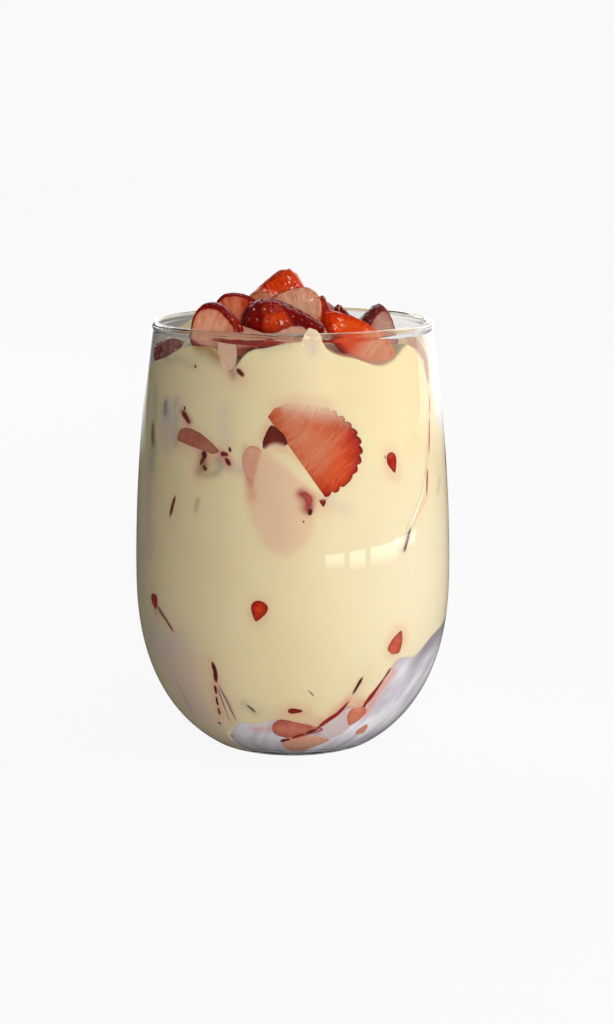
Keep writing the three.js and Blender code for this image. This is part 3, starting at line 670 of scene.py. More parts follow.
AT_WALL = [
    at_wall("wall_big_slice", 35, 11.8, 4, 7.7, 93.9, -44, 0.4, end=0.82, left=5.4, tilt=0.17,
            fullness=0.62, flush=(0.45, 0.8, -0.6, 1.5, 10), dark=0.1, shallow=0.5, pits=0, teeth=1.25,
            seep=0.12, veil=(0.15, 1, 4.5, 14), clear=((-11.5, 0, 8.5), 4.5)),
    at_wall("wall_veiled_slice", 26, 8, 3.5, -4, 79, -10, 0.45, veiled=True, seep=0.5),
    at_wall("wall_dark_scrap", 8, 3.4, 2.5, -6.4, 96, -12, 0.8, start=0.14, dark=0.8, lift=0.06,
            under=((0.6, 0, -5.4), 5)),
    at_wall("wall_flap_scrap", 13, 3, 1.8, -13.6, 87.2, 175, 0.2, dark=0.12, film=0.35, deep=1.5,
            veil=(0.9, -0.2, -0.4, 2.4), seep=0.1),
    # Its `dark` is partly painted shade, as it lies in shadow.
    at_wall("wall_left_slice", 15.5, 3.4, 3, -37.2, 93, 101, 0.75, right=1.2, dark=0.5, seep=0.3,
            film=0.12, deep=1.0, flush=(-0.6, 1, -0.5, -2, 3)),
    at_wall("wall_left_scrap_upper", 5.2, 1.9, 1.5, -44.4, 100.4, 150, 0.9, dark=0.5, veiled=True,
            seep=0.12),
    at_wall("wall_left_scrap_lower", 6.6, 2.3, 2, -34.3, 87.4, 185, 0.8, dark=0.75, veiled=True,
            seep=0.35),
    at_wall("wall_left_scrap_right", 5.2, 1.9, 1.6, -24, 90.1, 150, 0.9, dark=0.6, veiled=True, seep=0.2),
    at_wall("wall_left_sliver", 6.6, 1.2, 1, -47.8, 74.8, 15, 0.8, dark=0.5, veiled=True, seep=0.15),
    at_wall("wall_right_drop", 6, 1.7, 1.4, 39.4, 87.6, 165, 0.95, dark=0.15),
    at_wall("wall_middle_scrap", 5, 1.3, 1.2, 10.9, 79.6, 172, 0.9, dark=0.5, film=0.75,
            clear=((0.3, -1.2, -1.9), 2.0)),
    at_wall("wall_front_drop", 6, 2.3, 1.8, -11.6, 48.2, 195, 0.95),
    at_wall("wall_right_wedge", 8, 2.6, 1.8, 41.2, 36.6, 22, 0.85, start=0.1, film=0.1),
    at_wall("wall_far_left_scrap", 4.6, 1.9, 1.5, -59.4, 45.7, 165, 0.9, dark=0.2),
    at_wall("low_left_slice", 22, 6.6, 3, -41, 21.5, 187, 0.3, right=2, veiled=True, seep=0.2),
    at_wall("low_front_scrap", 4.2, 1, 1, 1.4, 18.8, 90, 0.8, dark=0.4),
    at_wall("low_right_sliver", 6.4, 1, 1, 25.6, 24.9, 28, 0.8, dark=0.3, veiled=True, seep=0.2),
    at_wall("bottom_front_slice", 14.5, 4.2, 3, 2.7, 12.6, 96, 0.6, film=0.08, cold=1, dark=0.12,
            deep=0.5, tucked=True),
    at_wall("bottom_orange_slice", 13.5, 4.4, 2.4, 7.5, 7.6, 82, 0.35, film=0.4, deep=3),
    at_wall("bottom_salmon_scrap", 7.5, 3, 2, 28.4, 15.5, 190, 0.5, film=0.18, deep=1, lift=0.05,
            tucked=True),
    at_wall("bottom_pale_slice", 14, 4.8, 3, 22.2, 14.4, 39, 0.2, film=0.6, cold=1, deep=2, tucked=True),
    at_wall("bottom_edge_slice", 21, 6, 3, 45.6, 19.6, 13, 0.3, right=3, veiled=True, seep=0.1),
    at_wall("bottom_corner_scrap", 4.6, 1.8, 1.5, 36.6, 10.2, 10, 0.3, film=0.2, deep=1.5),
    at_wall("bottom_far_slice", 20, 7.4, 3.4, 66, 18.5, -16, 0.3, veiled=True, seep=0),
    at_wall("side_right_slice", 20, 7.8, 3.4, 96, 84, 100, 0.6),
    at_wall("side_left_slice", 23, 8.6, 3.6, -98, 66, 28, 0.55, film=0.1),
    at_wall("back_wall_slice", 27, 10, 4, 152, 88, 40, 0.6, right=6),
    at_wall("back_low_slice", 23, 8.4, 3.6, 212, 56, -58, 0.55, film=0.2),
    at_wall("back_left_scrap", 8, 2.8, 2, 232, 97, 130, 0.9),
    at_wall("back_scrap", 7, 2.4, 1.8, 184, 76, 200, 0.9),
    at_wall("back_right_drop", 6.4, 2.2, 1.8, 118, 50, 170, 0.95),
    at_wall("back_low_drop", 6, 2.1, 1.6, 172, 38, 20, 0.9),
    at_wall("bottom_back_slice", 19, 6.6, 3, 146, 14, 80, 0.5, film=0.2),
    at_wall("bottom_back_left_slice", 17, 6, 3, 216, 15, -30, 0.4, film=0.3),
    at_wall("heap_notch_scrap", 11, 3, 2.2, -25.6, 116.8, 168, 0.1, dark=0.08, seep=0.1, film=0.7, deep=1,
            veiled=True),
]

# %% [markdown]
# What the cream shows of the fruit. Juice seeps a millimetre or two out of every piece at the wall, which
# tints the cream pink. Soft lines do the rest: pink and crimson where a fold of cream closed over fruit,
# amber where a bruised bit shows through, grey-green that is partly smudges of bruised fruit and partly
# painted shade under the cream's lip, in the notch and along the dim left side, and lilac where the cream is
# thin. Each line is a route over the wall, a width in millimetres and a strength. All are distances measured
# on the wall as if it were unrolled.
#
# On the top there are pools of colour instead, each with its place, reach and strength, and juice under the
# whole heap; in front, under the right slice, and beneath the heap these also paint the fruit's shade. Two
# more values say where the cream is watery, in the hollow, and where it turns paler on the right, which is
# painted light. All are stored at each point of the cream and left to the material to colour.

# %% Stains on the cream
JUICE_REACH, SEEP = 1.5, 0.45
STAINS = {
    "juice": [
        ([(66.6, 107), (63.7, 96.8), (59.1, 85.1), (57.9, 76.6), (47, 68)], 0.9, 0.5),
        ([(-31, 32.5), (-31, 25), (-33, 15)], 1.6, 0.5), ([(-29, 27), (-27, 12)], 2.2, 0.3),
        ([(13.7, 13.7), (19, 17.2), (23, 20.6)], 0.8, 0.6), ([(-29, 121), (-24, 112)], 2.4, 0.4),
        ([(6, 122.5), (11, 122.5)], 2.2, 0.3), ([(-57, 44), (-48, 38.4)], 1.2, 0.45),
        ([(-15.6, 92), (-15.6, 86), (-13.4, 80)], 1.4, 0.4),
        ([(-5, 105.2), (4, 106), (13, 104.6)], 1.8, 0.35),
        ([(-9, 93.6), (-2, 89.6), (11.5, 81.6)], 1.7, -0.8), ([(42.5, 30.5), (37, 24)], 0.9, 0.5),
        ([(-43.4, 99), (-42.8, 95)], 1.1, 0.7), ([(-26.5, 91), (-22.6, 88.6)], 1.5, 0.8),
        ([(-33.4, 87.6), (-36.4, 85.1)], 1.5, 0.6), ([(-44, 94.5), (-30, 91.5)], 2.2, 0.4),
        ([(-20, 113.4), (-19, 112)], 2.2, 0.4),
    ],
    "crimson": [
        ([(3.6, 81), (6.2, 79.6), (5.8, 76.8)], 1.5, 0.7), ([(-41.6, 93.8), (-39.5, 93)], 1.0, 0.3),
        ([(2.6, 80.4), (4.8, 76.6)], 1.5, 0.5), ([(-45.8, 101.2), (-41.4, 98.8)], 1.0, 0.5),
        ([(46, 68.6), (43.8, 63)], 0.8, 0.3), ([(-27.2, 117), (-23, 112.5)], 1.1, 0.2),
        ([(-26.4, 91), (-22.8, 88.6)], 0.9, 0.4), ([(-34.3, 90), (-34, 86.6)], 1.0, 0.4),
    ],
    "amber": [
        ([(-40, 119.8), (-35, 119.2), (-30.6, 117.4)], 1.7, 0.9),
        ([(-84, 112), (-86, 98), (-87, 78)], 3.4, 0.8), ([(-34.6, 88.6), (-33.6, 86.6)], 1.0, 0.6),
        ([(-15.2, 86), (-13.8, 81)], 1.4, 0.25), ([(-58, 42), (-60, 46)], 1.5, 0.3),
    ],
    # Grey-green: smudges of bruised fruit, and painted shade under the cream's lip, in the notch and on the
    # left.
    "shade": [
        ([(-35.8, 90.5), (-35, 85)], 1.3, 0.4),
        ([(-27.6, 89.5), (-25.5, 87.3), (-28.5, 85.3), (-32.3, 84.7)], 1.0, 0.36),
        ([(-29.5, 88), (-28.5, 87)], 2.6, 0.22), ([(-56.3, 102.6), (-55.3, 100.2)], 0.9, 0.85),
        ([(-35.7, 77.7), (-36.4, 75)], 1.0, 0.4), ([(-19.5, 20.2), (-14.7, 17.2)], 1.2, 0.25),
        ([(-53, 22.8), (-52, 16.8), (-52.5, 13)], 0.5, 0.35), ([(-65.8, 95), (-64.7, 91)], 1.2, 0.9),
        ([(-66.4, 106), (-64.8, 96), (-63.6, 84)], 2.0, 0.26), ([(70.2, 79.4), (67.6, 76.3)], 0.7, 0.35),
        ([(-17.2, 94), (-16.3, 88)], 0.8, 0.2), ([(-27.5, 117.5), (-22.8, 112.2)], 0.9, 0.45),
        ([(-37, 118), (-29, 115.5)], 2.4, 0.22), ([(-10, 119.3), (0, 120.6)], 1.2, 0.2),
        ([(-60, 114), (-50, 115.6), (-41, 114.6)], 1.4, 0.2), ([(-50.5, 104), (-47.5, 92)], 0.8, 0.2),
    ],
    "lilac": [
        ([(-55.5, 104), (-51.6, 97.6), (-48.4, 91.8)], 0.9, 0.4), ([(-56, 101), (-54, 92)], 3.2, 0.6),
        ([(-49, 103), (-46.5, 94)], 2.6, 0.5), ([(-28.2, 88.5), (-23, 88), (-17.5, 87.6)], 1.5, 0.6),
        ([(-65.5, 88), (-64, 60)], 3.5, 0.45), ([(-25.8, 102.9), (-23.8, 95.4)], 2.4, 0.3),
        ([(-46, 34), (-41, 12)], 7.5, 0.5), ([(-58, 36), (-52, 16)], 6.0, 0.45),
        ([(-29.5, 25.4), (-25.4, 14)], 0.7, 0.7), ([(14, 79), (20, 76)], 2.2, 0.3),
        ([(-20, 19), (-12, 18)], 2.6, 0.25), ([(-6, 84), (-4, 70)], 5.0, 0.4),
        ([(8.8, 124.5), (8.8, 119)], 1.8, 0.5), ([(-72, 60), (-66, 30)], 4.0, 0.3),
    ],
}
STAIN_COLOURS = {
    "lilac": (0.56, 0.46, 0.44, 1), "juice": (0.74, 0.42, 0.27, 1), "crimson": (0.36, 0.035, 0.035, 1),
    "amber": (0.44, 0.22, 0.06, 1), "shade": (0.20, 0.18, 0.12, 1),
}
FRUIT_SHADOW, TOP_DEPTH = 3.5, 8
JUICY_TOP, JUICE_AND_SHADE_UNDER, JUICE_WAVES = 0.05, 0.55, 0.25
POOLS_OF_JUICE_AND_SHADE = [
    # The juice and crimson pools under the right slice, and the shade pool, paint its shade as well as juice.
    ("juice", 14, -28, 7, 1.0), ("crimson", 13, -27, 5, 0.6), ("crimson", 18, -31, 4, 0.4),
    ("shade", 27, -24, 5, 0.4), ("juice", -20, -32, 6, 0.5), ("juice", 24, -30, 5, 0.4),
]


def halo(phi, z, piece):
    """1 within the outline of a piece at the wall, taken as an ellipse, fading out over the reach of
    juice."""
    away = (phi - piece["phi"] + 540) % 360 - 180
    across, up = np.radians(away) * inner_radius(np.clip(z, 5, 124)), z - piece["z"]
    clock = np.radians(piece["clock"])
    u = up * np.cos(clock) + across * np.sin(clock)
    v = across * np.cos(clock) - up * np.sin(clock)
    half_length = 0.5 * piece["length"] * (piece.get("end", 1) - piece.get("start", 0))
    half_width = piece["radius"]
    beyond = (np.hypot(u / half_length, v / half_width) - 1) * min(half_length, half_width)
    return np.exp(-((np.maximum(beyond, 0) / JUICE_REACH) ** 2)) * (np.abs(away) < 60)


def line_stain(phi, z, route, width):
    """1 on a line drawn over the wall and 0 away from it: a bell curve of the distance to its nearest
    stretch."""
    near = np.full(phi.shape, 1e9)
    for (phi0, z0), (phi1, z1) in zip(route, route[1:]):
        scale = np.radians(1) * inner_radius(np.clip((z0 + z1) / 2, 5, 124))
        ax, ay, bx, by = (phi - phi0) * scale, z - z0, (phi1 - phi0) * scale, z1 - z0
        t = np.clip((ax * bx + ay * by) / (bx * bx + by * by), 0, 1)
        near = np.minimum(near, np.hypot(ax - t * bx, ay - t * by))
    return np.exp(-((near / width) ** 2))


def under_fruit(x, y):
    """1 beneath a piece of the heap, fading out over a few millimetres: a bell curve of the distance to
    it."""
    beyond = [np.hypot(x - piece["at"][0], y - piece["at"][1]) - 0.3 * piece["length"] for piece in HEAP]
    return np.exp(-((np.maximum(np.min(beyond, axis=0), 0) / FRUIT_SHADOW) ** 2))


def cream_values(rings, phi):
    """Each stain's strength at each point of the cream, how watery the cream is and how pale the painted light
    on the right makes it. The lines wander a little from their routes, by waves added to the place at which
    they are read."""
    x, y, z = rings[..., 0], rings[..., 1], rings[..., 2]
    side = cream_radius(phi, np.minimum(z, cream_edge(phi)))
    top = (z > CREAM_EDGE_Z - TOP_DEPTH) & (np.hypot(x, y) < side - 0.8)
    watery = smooth(hollow_top(phi) - z, -0.1, 0.8)
    # Painted light: paler towards the right and below 105 mm, where the key light falls.
    pale = 0.9 * smooth(phi, -10, 60) * smooth(105 - z, 0, 50) * (phi < 150)
    wander = ripple(0.25 * phi, 0.4 * z, 4), ripple(0.25 * phi, 0.4 * z, 8)
    phi, z = phi + 0.9 * wander[0], z + 0.5 * wander[1]
    stains = {
        kind: sum(strength * line_stain(phi, z, route, width) for route, width, strength in lines)
        for kind, lines in STAINS.items()
    }
    seeping = stains["juice"] + sum(piece.get("seep", SEEP) * halo(phi, z, piece) for piece in AT_WALL)
    # Juice under the heap, which also paints the shade that the fruit casts on the cream.
    juice_and_shade_under_heap = under_fruit(x, y) * (JUICE_AND_SHADE_UNDER + JUICE_WAVES * ripple(0.5 * x, 0.5 * y, 9))
    stains["juice"] = np.where(top, JUICY_TOP + juice_and_shade_under_heap, seeping)
    for kind, at_x, at_y, reach, strength in POOLS_OF_JUICE_AND_SHADE:
        near = np.exp(-(((x - at_x) ** 2 + (y - at_y) ** 2) / reach**2))
        stains[kind] = stains[kind] + top * strength * near
    stains = {kind: np.clip(strength, 0, 1) for kind, strength in stains.items()}
    return dict(stains, watery=watery, pale=np.clip(pale, 0, 1))


# %% [markdown]
# Shader groups. Three effects come back in several materials: a soft mottling, so that no surface is one
# flat colour, the film of cream that half hides a piece, and the fibres of cut flesh. Each is a node group
# with named inputs that gives out a colour or a mask, and every material plugs it in with its own values.


# %% Shared shader groups
def new_group(name, inputs, outputs):
    """A node group with its sockets, and its input and output nodes."""
    group = bpy.data.node_groups.new(name, "ShaderNodeTree")
    kinds = {"colour": "NodeSocketColor", "value": "NodeSocketFloat", "vector": "NodeSocketVector"}
    for label, kind in inputs:
        group.interface.new_socket(label, in_out="INPUT", socket_type=kinds[kind])
    for label, kind in outputs:
        group.interface.new_socket(label, in_out="OUTPUT", socket_type=kinds[kind])
    return group, group.nodes.new("NodeGroupInput"), group.nodes.new("NodeGroupOutput")


def mottle_group():
    """Mixes two colours by a cloud of noise over the object, in patches of a given size."""
    inputs = [("Colour", "colour"), ("Other", "colour"), ("Patches per metre", "value"), ("Amount", "value")]
    group, given, result = new_group("mottle", inputs, [("Colour", "colour")])
    cloud = noise(group, object_place(group), given.outputs[2], 3.0)
    patches = ramp(group, cloud, [(0.35, (0, 0, 0)), (0.7, (1, 1, 1))])
    share = maths(group, "MULTIPLY", patches, given.outputs[3])
    group.links.new(mix_colour(group, share, given.outputs[0], given.outputs[1]), result.inputs[0])
    return group


CREAM_COLOUR = (0.80, 0.68, 0.405)
MILK_COLOUR, COLD_MILK = (0.73, 0.45, 0.31), (0.66, 0.56, 0.57)
FILM_CLOUDS, FILM_RAGGED, FILM_STEP = 170.0, 0.3, 0.65


def film_group():
    """Hides a colour behind cream, in two steps that meet at FILM_STEP: up to there the colour turns to
    that of thin milk, and from there to the cream's own. The edge is ragged, because noise is added to the
    amount."""
    inputs = [("Colour", "colour"), ("Milk", "colour"), ("Amount", "value")]
    group, given, result = new_group("cream_film", inputs, [("Colour", "colour")])
    cloud = noise(group, object_place(group), FILM_CLOUDS, 3.0)
    lifted = maths(group, "MULTIPLY", maths(group, "SUBTRACT", cloud, 0.5), FILM_RAGGED)
    gate = maths(group, "MULTIPLY", given.outputs[2], 5.0, clamp=True)
    amount = maths(group, "ADD", given.outputs[2], maths(group, "MULTIPLY", lifted, gate), clamp=True)
    thin = ramp(group, amount, [(0.0, (0, 0, 0)), (FILM_STEP, (1, 1, 1))])
    thick = ramp(group, amount, [(FILM_STEP, (0, 0, 0)), (1.0, (1, 1, 1))])
    milky = mix_colour(group, thin, given.outputs[0], given.outputs[1])
    group.links.new(mix_colour(group, thick, milky, (*CREAM_COLOUR, 1)), result.inputs[0])
    return group


def fibre_group():
    """Pale threads that run from the core to the skin: noise read on the grain, a vector stored on each
    piece, which changes fast across the threads and slowly along them."""
    inputs = [("Grain", "vector"), ("Threads per millimetre", "value")]
    group, given, result = new_group("fibres", inputs, [("Mask", "value")])
    grain = {"Vector": given.outputs[0], "Scale": given.outputs[1], "Detail": 4.0, "Roughness": 0.6}
    threads = add_node(group, "TexNoise", grain)
    group.links.new(ramp(group, threads.outputs[0], [(0.42, (0, 0, 0)), (0.66, (1, 1, 1))]), result.inputs[0])
    return group


MOTTLE, FILM, FIBRES = mottle_group(), film_group(), fibre_group()


def use_group(tree, group, **inputs):
    """Places a group in a material. Underscores in the names stand for spaces."""
    made = tree.nodes.new("ShaderNodeGroup")
    made.node_tree = group
    for name, value in inputs.items():
        socket = made.inputs[name.replace("_", " ")]
        if isinstance(value, bpy.types.NodeSocket):
            tree.links.new(value, socket)
        else:
            socket.default_value = value
    return made.outputs


# %% [markdown]
# The cream's finish. Light goes a few millimetres into cream before it comes back, which softens every
# shadow, so the shader scatters under the surface. Its yellow is a warm ivory: measured on the photograph
# it is far less yellow than one remembers. The stains stored on the mesh are laid over it one by one.


# %% Cream material
CREAM_PATCH, PAINTED_LIGHT_CREAM = (0.78, 0.645, 0.36, 1), (0.80, 0.71, 0.50, 1)
WATERY_MILK = ((0.3, (0.42, 0.36, 0.40)), (0.5, (0.66, 0.56, 0.57)), (0.7, (0.78, 0.70, 0.70)))


def cream_finish(name, roughness, specular):
    """Mottled cream, thin milk where it is watery, and each stain's colour by its strength at the point."""
    material, tree = new_material(name)
    mottled = dict(Other=CREAM_PATCH, Patches_per_metre=45.0, Amount=0.6)
    base = use_group(tree, MOTTLE, Colour=(*CREAM_COLOUR, 1), **mottled)[0]
    place = object_place(tree)
    milk = ramp(tree, noise(tree, place, 130.0, 4.0), WATERY_MILK)
    colour = mix_colour(tree, attribute(tree, "watery"), base, milk)
    # Painted light: the cream turns paler on the right.
    colour = mix_colour(tree, attribute(tree, "pale"), colour, PAINTED_LIGHT_CREAM)
    for kind, stain in STAIN_COLOURS.items():
        colour = mix_colour(tree, attribute(tree, kind), colour, stain)
    bumps = {"Strength": 0.08, "Distance": 0.0004, "Height": noise(tree, place, 700.0, 2.0)}
    bump = add_node(tree, "Bump", bumps)
    cream = add_node(
        tree,
        "BsdfPrincipled",
        {"Base Color": colour, "Roughness": roughness, "Specular IOR Level": specular, "Normal": bump.outputs[0],
         "Subsurface Weight": 0.35, "Subsurface Radius": (1.0, 0.65, 0.35), "Subsurface Scale": 0.003},
    )
    return finished(material, cream)


rings, phi = cream_rings()
base, peak = (0, 0, FLOOR_Z - INTO_FLOOR), (0, 0, MOUND_Z + 0.5)
cream_material = cream_finish("vanilla_cream", 0.42, 0.3)
cream_surface = closed_surface(rings, base, peak, **cream_values(rings, phi))
cream = add_piece("cream_fill", cream_surface, cream_material, ["cream"])
print("cream faces:", len(cream.data.polygons))

# %% [markdown]
# The fruit's finish. Read from the skin inwards, cut strawberry goes from a thin crimson line through
# orange red to salmon and nearly white at the core. The depth below the skin is stored on every point, so
# one ramp paints all the pieces, and a second, paler ramp serves the unripe ones. Fibres and a pale ring of
# veins lie over the flesh, then comes skin where the depth is zero, then the dark of a bruise, which is also
# painted shade on pieces that lie in shadow, and the film of cream. The wet coat is thinner behind glass,
# where it would only mirror the lamps twice.


# %% Strawberry material
RIPE_FLESH = (
    (0.0, (0.30, 0.006, 0.003)), (0.15, (0.46, 0.013, 0.001)), (0.32, (0.62, 0.034, 0.001)),
    (0.55, (0.65, 0.062, 0.003)), (1.0, (0.66, 0.12, 0.018)),
)
PALE_FLESH = (
    (0.0, (0.36, 0.014, 0.008)), (0.06, (0.50, 0.055, 0.02)), (0.20, (0.62, 0.18, 0.075)),
    (0.50, (0.66, 0.29, 0.16)), (1.0, (0.68, 0.37, 0.23)),
)
PALE_THREAD, RIPE_THREAD = (0.80, 0.47, 0.31, 1), (0.75, 0.125, 0.015, 1)
SKIN_DARK, SKIN_LIGHT = (0.15, 0.001, 0.002, 1), (0.32, 0.007, 0.003, 1)
BRUISE_AND_SHADE = (0.055, 0.014, 0.012, 1)
PER_MM, PER_MM_IN_THREADS, BARE_DEPTH = 0.08, 0.05, 2.2


def strawberry_finish(name, roughness, specular, coat, thread_share):
    """Flesh, skin, bruise and painted shade, and film by the values stored on the piece. `coat` is how wet it
    is, and `thread_share` how strongly the fibres show."""
    material, tree = new_material(name)
    depth, ripe = attribute(tree, "depth"), attribute(tree, "ripe")
    threads = use_group(tree, FIBRES, Grain=attribute(tree, "grain", "Vector"), Threads_per_millimetre=0.9)[0]
    streaky = maths(tree, "ADD", maths(tree, "MULTIPLY", threads, PER_MM_IN_THREADS), PER_MM)
    inward = maths(tree, "MULTIPLY", depth, streaky)
    laid_bare = maths(tree, "MULTIPLY", attribute(tree, "bare"), 0.1 * BARE_DEPTH)
    inward = maths(tree, "ADD", inward, laid_bare, clamp=True)
    red = ramp(tree, inward, RIPE_FLESH)
    pale = ramp(tree, inward, PALE_FLESH)
    flesh = mix_colour(tree, ripe, pale, red)
    thread_colour = mix_colour(tree, ripe, PALE_THREAD, RIPE_THREAD)
    flesh = mix_colour(tree, maths(tree, "MULTIPLY", threads, thread_share), flesh, thread_colour)
    vein = ramp(tree, inward, [(0.28, (0, 0, 0)), (0.36, (1, 1, 1)), (0.46, (0, 0, 0))])
    flesh = mix_colour(tree, maths(tree, "MULTIPLY", vein, thread_share), flesh, thread_colour)
    mottled = dict(Patches_per_metre=160.0, Amount=0.8)
    skin = use_group(tree, MOTTLE, Colour=SKIN_DARK, Other=SKIN_LIGHT, **mottled)[0]
    inside = maths(tree, "SUBTRACT", depth, attribute(tree, "rind"))
    inside = maths(tree, "MULTIPLY", inside, 2.0, clamp=True)
    is_skin = ramp(tree, inside, [(0.1, (1, 1, 1)), (0.6, (0, 0, 0))])
    is_skin = maths(tree, "SUBTRACT", is_skin, attribute(tree, "bare"), clamp=True)
    place = object_place(tree)
    pools = ramp(tree, noise(tree, place, 260.0, 3.0), [(0.52, (0, 0, 0)), (0.58, (1, 1, 1))])
    wet = maths(tree, "MAXIMUM", maths(tree, "MULTIPLY", is_skin, 0.7), pools)
    wet = maths(tree, "MULTIPLY", wet, coat)
    through = maths(tree, "MINIMUM", add_node(tree, "LightPath").outputs["Transmission Depth"], 1.0)
    wet = maths(tree, "MULTIPLY", wet, maths(tree, "SUBTRACT", 1.0, maths(tree, "MULTIPLY", through, 0.9)))
    colour = mix_colour(tree, is_skin, flesh, skin)
    # The bruise colour is also painted shade on pieces that lie in shadow.
    colour = mix_colour(tree, attribute(tree, "dark"), colour, BRUISE_AND_SHADE)
    milk = mix_colour(tree, attribute(tree, "cold"), (*MILK_COLOUR, 1), (*COLD_MILK, 1))
    filmed = use_group(tree, FILM, Colour=colour, Milk=milk, Amount=attribute(tree, "film"))
    grit, knobs = noise(tree, place, 900.0, 2.0), noise(tree, place, 380.0, 1.0)
    height = maths(tree, "ADD", maths(tree, "MULTIPLY", threads, 0.5), grit)
    knobs = maths(tree, "MULTIPLY", maths(tree, "MULTIPLY", knobs, is_skin), 3.0)
    height = maths(tree, "ADD", height, knobs)
    bump = add_node(tree, "Bump", {"Strength": 0.5, "Distance": 0.0004, "Height": height})
    fruit = add_node(
        tree,
        "BsdfPrincipled",
        {"Base Color": filmed[0], "Roughness": roughness, "Specular IOR Level": specular,
         "Coat Weight": wet, "Coat Roughness": 0.08, "Normal": bump.outputs[0],
         "Subsurface Weight": 0.15, "Subsurface Radius": (1.0, 0.3, 0.15), "Subsurface Scale": 0.0012},
    )
    return finished(material, fruit)


def slant(away, across, up, low, high):
    """0 on one side of a piece and 1 on the other, along a direction of the picture (right and up)."""
    return smooth(away[:, 0] * across + away[:, 2] * up, low, high)


def spot(away, middle, reach):
    """1 in the middle of a ball and 0 outside it."""
    return 1 - smooth(np.linalg.norm(away - middle, axis=1), 0.6 * reach, reach)


def with_looks(surface, piece, centre):
    """Stores at each point what the material reads: how far below the skin it seems to lie, how ripe, dark,
    filmed and cold the piece is, how wide its rind shows and where it is bare."""
    away, values = surface["points"] - centre, surface["values"]
    blank = np.zeros(len(away))
    depth = values["depth"] * piece.get("shallow", 1) + piece.get("deep", 0)
    rind = piece.get("rind", 0) * smooth(away[:, 2], -0.3 * piece["radius"], 0.4 * piece["radius"])
    film, ripe = blank + piece.get("film", 0), blank + piece["ripe"]
    if "veil" in piece:
        film = film + slant(away, *piece["veil"])
    if "clear" in piece:
        film = film * (1 - spot(away, *piece["clear"]))
    if "under" in piece:
        film = film + spot(away, *piece["under"])
    if "flush" in piece:
        amount, *plan = piece["flush"]
        ripe = ripe + amount * slant(away, *plan)
    bare = spot(away, *piece["bare"]) if "bare" in piece else blank
    values.update(depth=depth, ripe=np.clip(ripe, 0, 1), film=np.clip(film, 0, 1), rind=rind, bare=bare,
                  dark=blank + piece.get("dark", 0), cold=blank + piece.get("cold", 0))


def in_place(piece, points):
    """Points of a piece of the heap, taken from its own frame to where it lies."""
    return points @ axes_from(piece["axis"], piece["normal"]) + np.array(piece["at"])


HEAP_GRID, HEAP_PROUD = (160, 26, 26), -0.1
wet_fruit = strawberry_finish("cut_strawberry", 0.5, 0.03, 0.5, 0.3)
for seed, piece in enumerate(HEAP, start=1):
    surface = fruit_surface(piece, *HEAP_GRID, seed)
    surface["points"] = pressed(in_place(piece, surface["points"]), HEAP_PROUD)
    with_looks(surface, piece, np.array(piece["at"]))
    values = surface["values"]
    values["film"] = values["film"] * smooth(values["depth"] - values["rind"], 0, 0.8)
    add_piece("fruit_" + piece["name"], surface, wet_fruit, [piece["name"]])
print("pieces in the heap:", len(HEAP))

# %% [markdown]
# At the wall the cut face bends to the glass. Most pieces lie a hair further into the wall than the cream
# does, so they show whole, and sink under it where their film is thickest. The veiled ones lie wholly under
# the cream's surface, and all that is seen of them is the juice that they lend it. The tucked ones show
# only in the hollow, and pass under the cream where it touches the glass.

# %% Fruit against the glass
PROUD, SUNK, SINKING, SETTING = 0.04, -0.35, 0.4, 1.3
pressed_fruit = strawberry_finish("pressed_strawberry", 0.6, 0.03, 0.0, 0.16)


def wall_grid(piece):
    """Sides, face rings and skin rings by the size of the piece."""
    if piece["length"] < 9:
        return 64, 12, 6
    return (96, 22, 8) if piece["length"] < 25 else (320, 44, 8)


def wall_fruit(piece, seed):
    """A piece at the wall: turned flat on it, set a little outside it and pressed back."""
    surface = fruit_surface(piece, *wall_grid(piece), seed)
    axes = wall_axes(piece)
    at = polar(fill_radius(piece["z"]), piece["phi"], piece["z"])
    surface["points"] = points = surface["points"] @ axes + at + SETTING * axes[2]
    with_looks(surface, piece, at)
    proud = PROUD + piece.get("lift", 0) - SINKING * smooth(surface["values"]["film"], 0.7, 0.95)
    if piece.get("tucked"):
        phi = np.degrees(np.arctan2(points[:, 0], -points[:, 1]))
        proud = SUNK + (proud - SUNK) * smooth(hollow_top(phi) - points[:, 2], -0.2, 0.3)
    surface["points"] = pressed(points, SUNK if piece.get("veiled") else proud)
    return surface


for seed, piece in enumerate(AT_WALL, start=21):
    add_piece("fruit_" + piece["name"], wall_fruit(piece, seed), pressed_fruit, [piece["name"]])
print("pieces at the wall:", len(AT_WALL))

# %% [markdown]
# Seeds. They sit at the bottom of the skin's pits, so their places follow from the same lattice: every
# second crossing of the rows along the berry and the columns round it. One drop-shaped grid is copied to
# all of them at once, each copy turned so that it lies on the skin and points at the tip. Only the heap has
# them: at the wall the glass hides the skins, and two pieces of the heap show hardly any skin.

# %% Seeds on the skins
SEED_LENGTH, SEED_WIDTH, SEED_THICK = 1.25, 0.72, 0.42
SEED_SIDES, SEED_ROWS = 8, 5
FIRST_SEED, LAST_SEED, SEED_CLEAR, SLOPE_STEP = 0.06, 0.96, 0.3, 0.02
SEED_COLOURS = ((0.55, 0.22, 0.05), (0.42, 0.09, 0.03))


